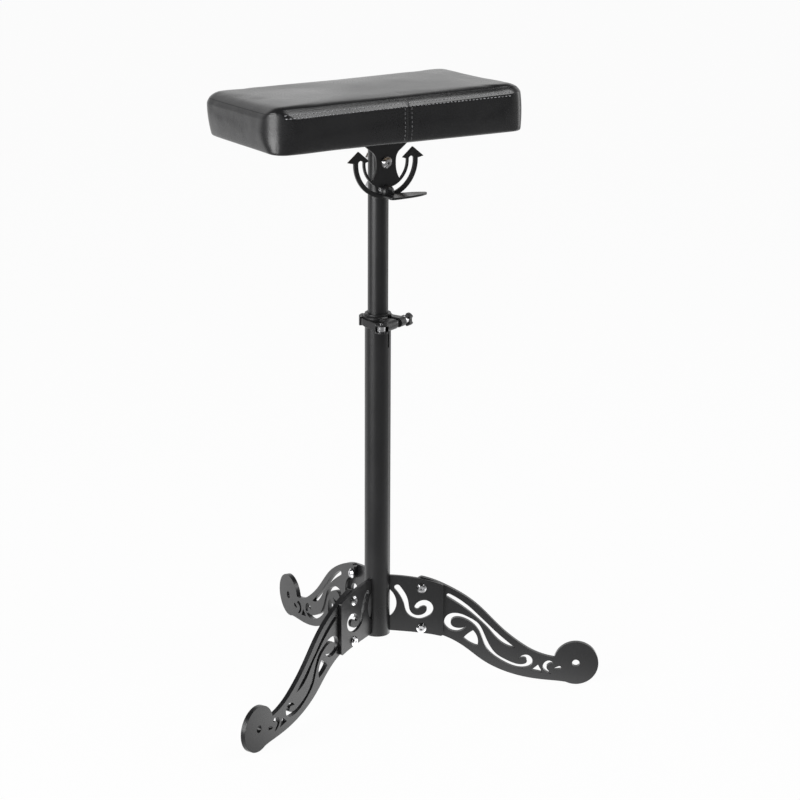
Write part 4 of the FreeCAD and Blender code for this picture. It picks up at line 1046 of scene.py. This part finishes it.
    def _painted_seam_shadow(self, tree: BVHTree, ring: list[Vector]) -> Object:
        """Painted shadow of the seam's gap: a thin near-black round line sunk in its groove.

        Args:
            tree: the cover's surface.
            ring: places on the seam, in any order.

        Returns:
            The line as a closed thin tube.
        """
        ring = sorted(ring, key=lambda p: math.atan2((p.y - self.middle.y) / self.half_wide,
                                                     (p.x - self.middle.x) / self.half_long))
        hits = [tree.find_nearest(p) for p in ring]
        around, radius = 6, self.seam_shadow_thick / 2
        points, faces = [], []
        for i, (spot, normal, _, _) in enumerate(hits):
            along = (hits[(i + 1) % len(hits)][0] - hits[i - 1][0]).normalized()
            middle = spot - normal * radius * self.seam_shadow_sunk
            points += circle(middle, along.cross(normal).normalized(), normal, radius, around)
        for i in range(len(hits)):
            k = (i + 1) % len(hits)
            for j in range(around):
                m = (j + 1) % around
                faces.append((i * around + j, i * around + m, k * around + m, k * around + j))
        return mesh_object("painted_seam_shadow_line", points, faces)

    def _stitch(self, points: list[Vector], faces: list[tuple[int, ...]], centre: Vector, along: Vector,
                normal: Vector) -> None:
        """Add one stitch: a short, slightly bowed thread with rounded ends.

        Args:
            points, faces: the row's, which the stitch's are added to.
            centre: the stitch's middle, on the cover.
            along: the way that it runs.
            normal: the cover's normal there.
        """
        across = along.cross(normal).normalized()
        rings, around = 7, 8
        base = len(points)
        for i in range(rings):
            share = -1 + 2 * i / (rings - 1)
            thick = self.stitch_thick / 2 * max(self.stitch_tip, math.sqrt(max(0.0, 1 - abs(share) ** 3)))
            bow = (self.stitch_rise - self.stitch_dip * share * share) * self.stitch_thick
            middle = centre + along * (share * self.stitch_long / 2) + normal * bow
            points += circle(middle, across, normal, thick, around)
        for i in range(rings - 1):
            for j in range(around):
                k = (j + 1) % around
                faces.append((base + i * around + j, base + i * around + k, base + (i + 1) * around + k,
                              base + (i + 1) * around + j))
        faces.append(tuple(base + j for j in reversed(range(around))))
        faces.append(tuple(base + (rings - 1) * around + j for j in range(around)))

    def _stitch_row(self, tree: BVHTree, path: list[Vector]) -> tuple[list[Vector], list[tuple[int, ...]]]:
        """Lay stitches on the cover along a path.

        Args:
            tree: the cover's surface.
            path: one point for each stitch, near the surface.

        Returns:
            The stitches' points and faces.
        """
        points: list[Vector] = []
        faces: list[tuple[int, ...]] = []
        hits = [tree.find_nearest(p) for p in path]
        for i, (spot, normal, _, _) in enumerate(hits):
            ahead = hits[min(i + 1, len(hits) - 1)][0]
            behind = hits[max(i - 1, 0)][0]
            along = ahead - behind
            if self.step_least < along.length / self.stitch_pitch < self.step_most:
                along = (along - normal * along.dot(normal)).normalized()
                self._stitch(points, faces, spot, along, normal)
        return points, faces

    def _topstitching(self, tree: BVHTree) -> list[Object]:
        """Sew two rows along the band and two down the join at the front.

        Args:
            tree: the cover's surface.

        Returns:
            The four rows.
        """
        pieces = []
        for name, share in (("stitches_side_row", self.row_low), ("stitches_top_row", self.row_high)):
            points, faces = self._stitch_row(tree, self._seam_path(share, self.stitch_pitch))
            pieces.append(mesh_object(name, points, faces))
        low = self.hem_low + self.under_round * self.join_start
        high = self.hem_low + self.side_top - self.band_low
        count = int((high - low) / self.stitch_pitch)
        for name, shift in (("stitches_join_left", -self.join_gap), ("stitches_join_right", self.join_gap)):
            path = [Vector((self.middle.x + self.join_x + shift, self.low.y - self.join_off,
                            low + (high - low) * i / count)) for i in range(count + 1)]
            points, faces = self._stitch_row(tree, path)
            pieces.append(mesh_object(name, points, faces))
        return pieces

    def build(self) -> None:
        """Make the cover and its stitches and hang them on the head."""
        cover = self._lattice()
        self._swell(cover)
        self._sew(cover)
        ring = [cover.data.vertices[n].co.copy() for n in self.ring]
        self._turn_under(cover)
        finer = cover.modifiers.new("finer", "SUBSURF")
        finer.levels = finer.render_levels = 1
        bake_modifiers(cover)
        shade_smooth(cover.data)
        cover.data.materials.clear()
        cover.data.materials.append(LEATHER.material())
        tree = BVHTree.FromObject(cover, bpy.context.evaluated_depsgraph_get())
        # The seam's line is a near-black tube that is painted shadow of the seam's gap.
        seam, stitches = self._painted_seam_shadow(tree, ring), self._topstitching(tree)
        seam.data.materials.append(SEAM_SHADOW.material())
        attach(cover, "head")
        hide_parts("pad_cushion", "cover_hem")
        # The band's two rows get the thread whose pale colour is a painted highlight.
        for piece, finish in zip(stitches, (GLINT_PAINTED_THREAD, GLINT_PAINTED_THREAD, JOIN_THREAD, JOIN_THREAD)):
            piece.data.materials.append(finish.material())
        for piece in [seam, *stitches]:
            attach(piece, "head")
            LOG.info("%s: %d faces", piece.name, len(piece.data.polygons))
        LOG.info("pad_cover: %d faces", len(cover.data.polygons))


@dataclass
class Ironwork:
    """The CAD pieces that keep their shape and get their finish here."""

    nodes: dict[str, Object]
    finishes: dict[Slot, Finish | Plywood] = field(default_factory=lambda: {
        Slot.STEEL: POWDER_COAT, Slot.ALLOY: ENAMEL, Slot.CHROME: CHROME, Slot.PLASTIC: MOULDED,
        Slot.PLYWOOD: SHADED_BIRCH})

    def dress(self, record: dict) -> None:
        """Give every kept node its material.

        Args:
            record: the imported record, whose subparts name their slots.
        """
        made = {slot: finish.material() for slot, finish in self.finishes.items()}
        for row in record["subparts"]:
            slot, piece = Slot(row["material_slot"]), self.nodes[row["node"]]
            if slot in made:
                piece.data.materials.clear()
                piece.data.materials.append(made[slot])
                LOG.info("%s: %s", piece.name, made[slot].name)


@dataclass(frozen=True)
class Lamp:
    """A soft rectangular lamp.

    Attributes:
        aim: the point that it faces.
        size: its width and height.
        glow: how bright its face is, where 1 is white paper.
        upright: which way its height runs.
    """

    name: str
    place: Triple
    aim: Triple
    size: Pair
    glow: float
    upright: Triple = (0.0, 0.0, 1.0)

    def hang(self) -> None:
        """Put the lamp into the scene."""
        light = bpy.data.lights.new(self.name, "AREA")
        light.shape = "RECTANGLE"
        light.size, light.size_y = self.size
        light.energy = self.glow * math.pi * light.size * light.size_y
        place, upright = Vector(self.place), Vector(self.upright)
        back = (place - Vector(self.aim)).normalized()
        tall = (upright - back * upright.dot(back)).normalized()
        stand(self.name, light, place, tall.cross(back), tall, back)


def stand(name: str, data: bpy.types.ID, place: Vector, right: Vector, up: Vector, back: Vector) -> Object:
    """Put a camera or lamp at a place.

    Args:
        name: the object's name.
        data: the camera or lamp.
        place: where it stands.
        right, up, back: its own X, Y and Z, the last away from what it faces.

    Returns:
        The object.
    """
    made = bpy.data.objects.new(name, data)
    bpy.context.scene.collection.objects.link(made)
    turn = Matrix((right, up, back)).transposed().to_4x4()
    made.matrix_world = Matrix.Translation(place) @ turn
    return made


COLUMN_MIDDLE: Triple = (0.0, 0.0, 0.45)
PAD_EDGE: Triple = (0.0, -0.07, 0.745)
LAMPS = (
    Lamp("key_lamp", (-2.58, -0.50, 1.0), COLUMN_MIDDLE, (1.8, 2.0), 7.0),
    Lamp("front_lamp", (0.998, -0.950, 2.239), PAD_EDGE, (0.9, 1.2), 6.0, (0.0, 0.65, 0.76)),
    Lamp("fill_lamp", (2.6, -0.15, 0.95), COLUMN_MIDDLE, (0.9, 1.9), 1.5),
)


@dataclass
class Studio:
    """Floor, backdrop, lamps and camera.

    Attributes:
        white_side: the direction in which the room and the floor get whiter.
        floor_share: how much of the floor's plain white shows over its lit surface.
        *_dim, *_range: how bright a dark end is in the object's reflections, and where it changes.
        near_*: a brighter strip of floor under the pad, and its soft borders.
        far_right, right_x: the floor's brightness far to the right, and where it gets there.
    """

    look_at: Triple = (0.0236, -0.0139, 0.3729)
    distance: float = 2.8857
    azimuth: float = -30.4
    elevation: float = 16.9
    roll: float = 0.3
    focal_px: float = 2350.3
    frame_px: float = 800.0
    sensor: float = 36.0
    far_clip: float = 60.0
    floor_half: float = 9.0
    floor_grey: Triple = (0.92, 0.92, 0.92)
    white_side: Triple = (0.75, 0.66, 0.0)
    floor_share: float = 0.96
    floor_dim: float = 0.25
    floor_range: Pair = (-0.40, 0.10)
    near_glow: float = 1.5
    near_x: Pair = (-0.30, -0.12)
    near_front: Pair = (-0.20, -0.10)
    near_back: Pair = (0.15, 0.05)
    far_right: float = 0.5
    right_x: Pair = (0.2, 0.8)
    room_dim: float = 0.04
    room_range: Pair = (-0.20, 0.55)
    ceiling_dim: float = 0.06
    ceiling_range: Pair = (0.36, 0.72)

    def _toward_camera(self) -> Vector:
        """The direction from the object to the camera."""
        a, e = math.radians(self.azimuth), math.radians(self.elevation)
        return Vector((math.sin(a) * math.cos(e), -math.cos(a) * math.cos(e), math.sin(e)))

    def camera(self) -> None:
        """Stand the camera where the photograph was taken from."""
        lens = bpy.data.cameras.new("camera")
        lens.sensor_width = self.sensor
        lens.lens = self.focal_px * lens.sensor_width / self.frame_px
        lens.clip_end = self.far_clip
        back = self._toward_camera()
        a, r = math.radians(self.azimuth), math.radians(self.roll)
        level = Vector((math.cos(a), math.sin(a), 0.0))
        up = back.cross(level)
        right = level * math.cos(r) + up * math.sin(r)
        upright = up * math.cos(r) - level * math.sin(r)
        place = Vector(self.look_at) + back * self.distance
        bpy.context.scene.camera = stand("camera", lens, place, right, upright, back)

    def _pale(self, name: str) -> Material:
        """A floor that is white to the camera and keeps a shadow, and that reflects dimmer towards the front.

        Args:
            name: the material's name.

        Returns:
            The material.
        """
        made, graph = new_material(name)
        path = graph.add("ShaderNodeLightPath")
        seen = graph.math("ADD", path.outputs["Is Camera Ray"], path.outputs["Is Glossy Ray"], clamp=True)
        seen = graph.math("ADD", seen, path.outputs["Is Transmission Ray"], clamp=True)
        place = graph.add("ShaderNodeNewGeometry").outputs["Position"]
        spot = graph.add("ShaderNodeSeparateXYZ", Vector=place)
        x, y = spot.outputs["X"], spot.outputs["Y"]
        level = graph.ramp(graph.dot(place, self.white_side), *self.floor_range, self.floor_dim, 1.0)
        level = graph.times(level, graph.ramp(x, *self.right_x, 1.0, self.far_right))
        level = graph.math("MAXIMUM", level, self.floor_dim)
        near = graph.times(graph.ramp(x, *self.near_x), graph.ramp(y, *self.near_front),
                           graph.ramp(y, *self.near_back, 0.0, self.near_glow))
        level = graph.math("ADD", level, near)
        lit = graph.add("ShaderNodeBsdfDiffuse", Color=self.floor_grey)
        white = graph.add("ShaderNodeEmission", Strength=1.0,
                          Color=graph.blend(path.outputs["Is Camera Ray"], level, WHITE))
        mix = graph.add("ShaderNodeMixShader")
        for socket, value in zip(mix.inputs, (graph.times(seen, self.floor_share), lit.outputs[0], white.outputs[0])):
            graph.plug(socket, value)
        graph.add("ShaderNodeOutputMaterial", Surface=mix.outputs[0])
        return made

    def floor(self) -> None:
        """A wide pale floor."""
        half = self.floor_half
        floor = mesh_object("studio_floor", [(-half, -half, 0), (half, -half, 0), (half, half, 0), (-half, half, 0)],
                            [(0, 1, 2, 3)])
        floor.data.materials.append(self._pale("studio_floor"))

    def world(self) -> None:
        """A white room behind the object that is dim on the camera's side."""
        made = bpy.data.worlds.new("studio")
        bpy.context.scene.world = made
        made.use_nodes = True
        graph = Graph(made.node_tree)
        graph.tree.nodes.clear()
        path = graph.add("ShaderNodeLightPath")
        place = graph.add("ShaderNodeTexCoord").outputs["Generated"]
        high = graph.add("ShaderNodeSeparateXYZ", Vector=place).outputs["Z"]
        level = graph.times(graph.ramp(graph.dot(place, self.white_side), *self.room_range, self.room_dim, 1.0),
                            graph.ramp(high, *self.ceiling_range, 1.0, self.ceiling_dim))
        level = graph.math("MAXIMUM", path.outputs["Is Camera Ray"], level)
        room = graph.add("ShaderNodeBackground", Strength=1.0, Color=level)
        graph.add("ShaderNodeOutputWorld", Surface=room.outputs[0])

    def build(self) -> None:
        """Set the whole studio up."""
        self.camera()
        self.floor()
        self.world()
        for lamp in LAMPS:
            lamp.hang()
        bpy.context.scene.view_settings.view_transform = "Standard"


def main() -> None:
    """Load the frame, set the studio up and build the pieces."""
    logging.basicConfig(level=logging.INFO, format="%(name)s: %(message)s")
    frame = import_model()
    Studio().build()
    Ironwork(frame["nodes"]).dress(frame["record"])
    Pad().build()


if __name__ == "__main__":
    main()
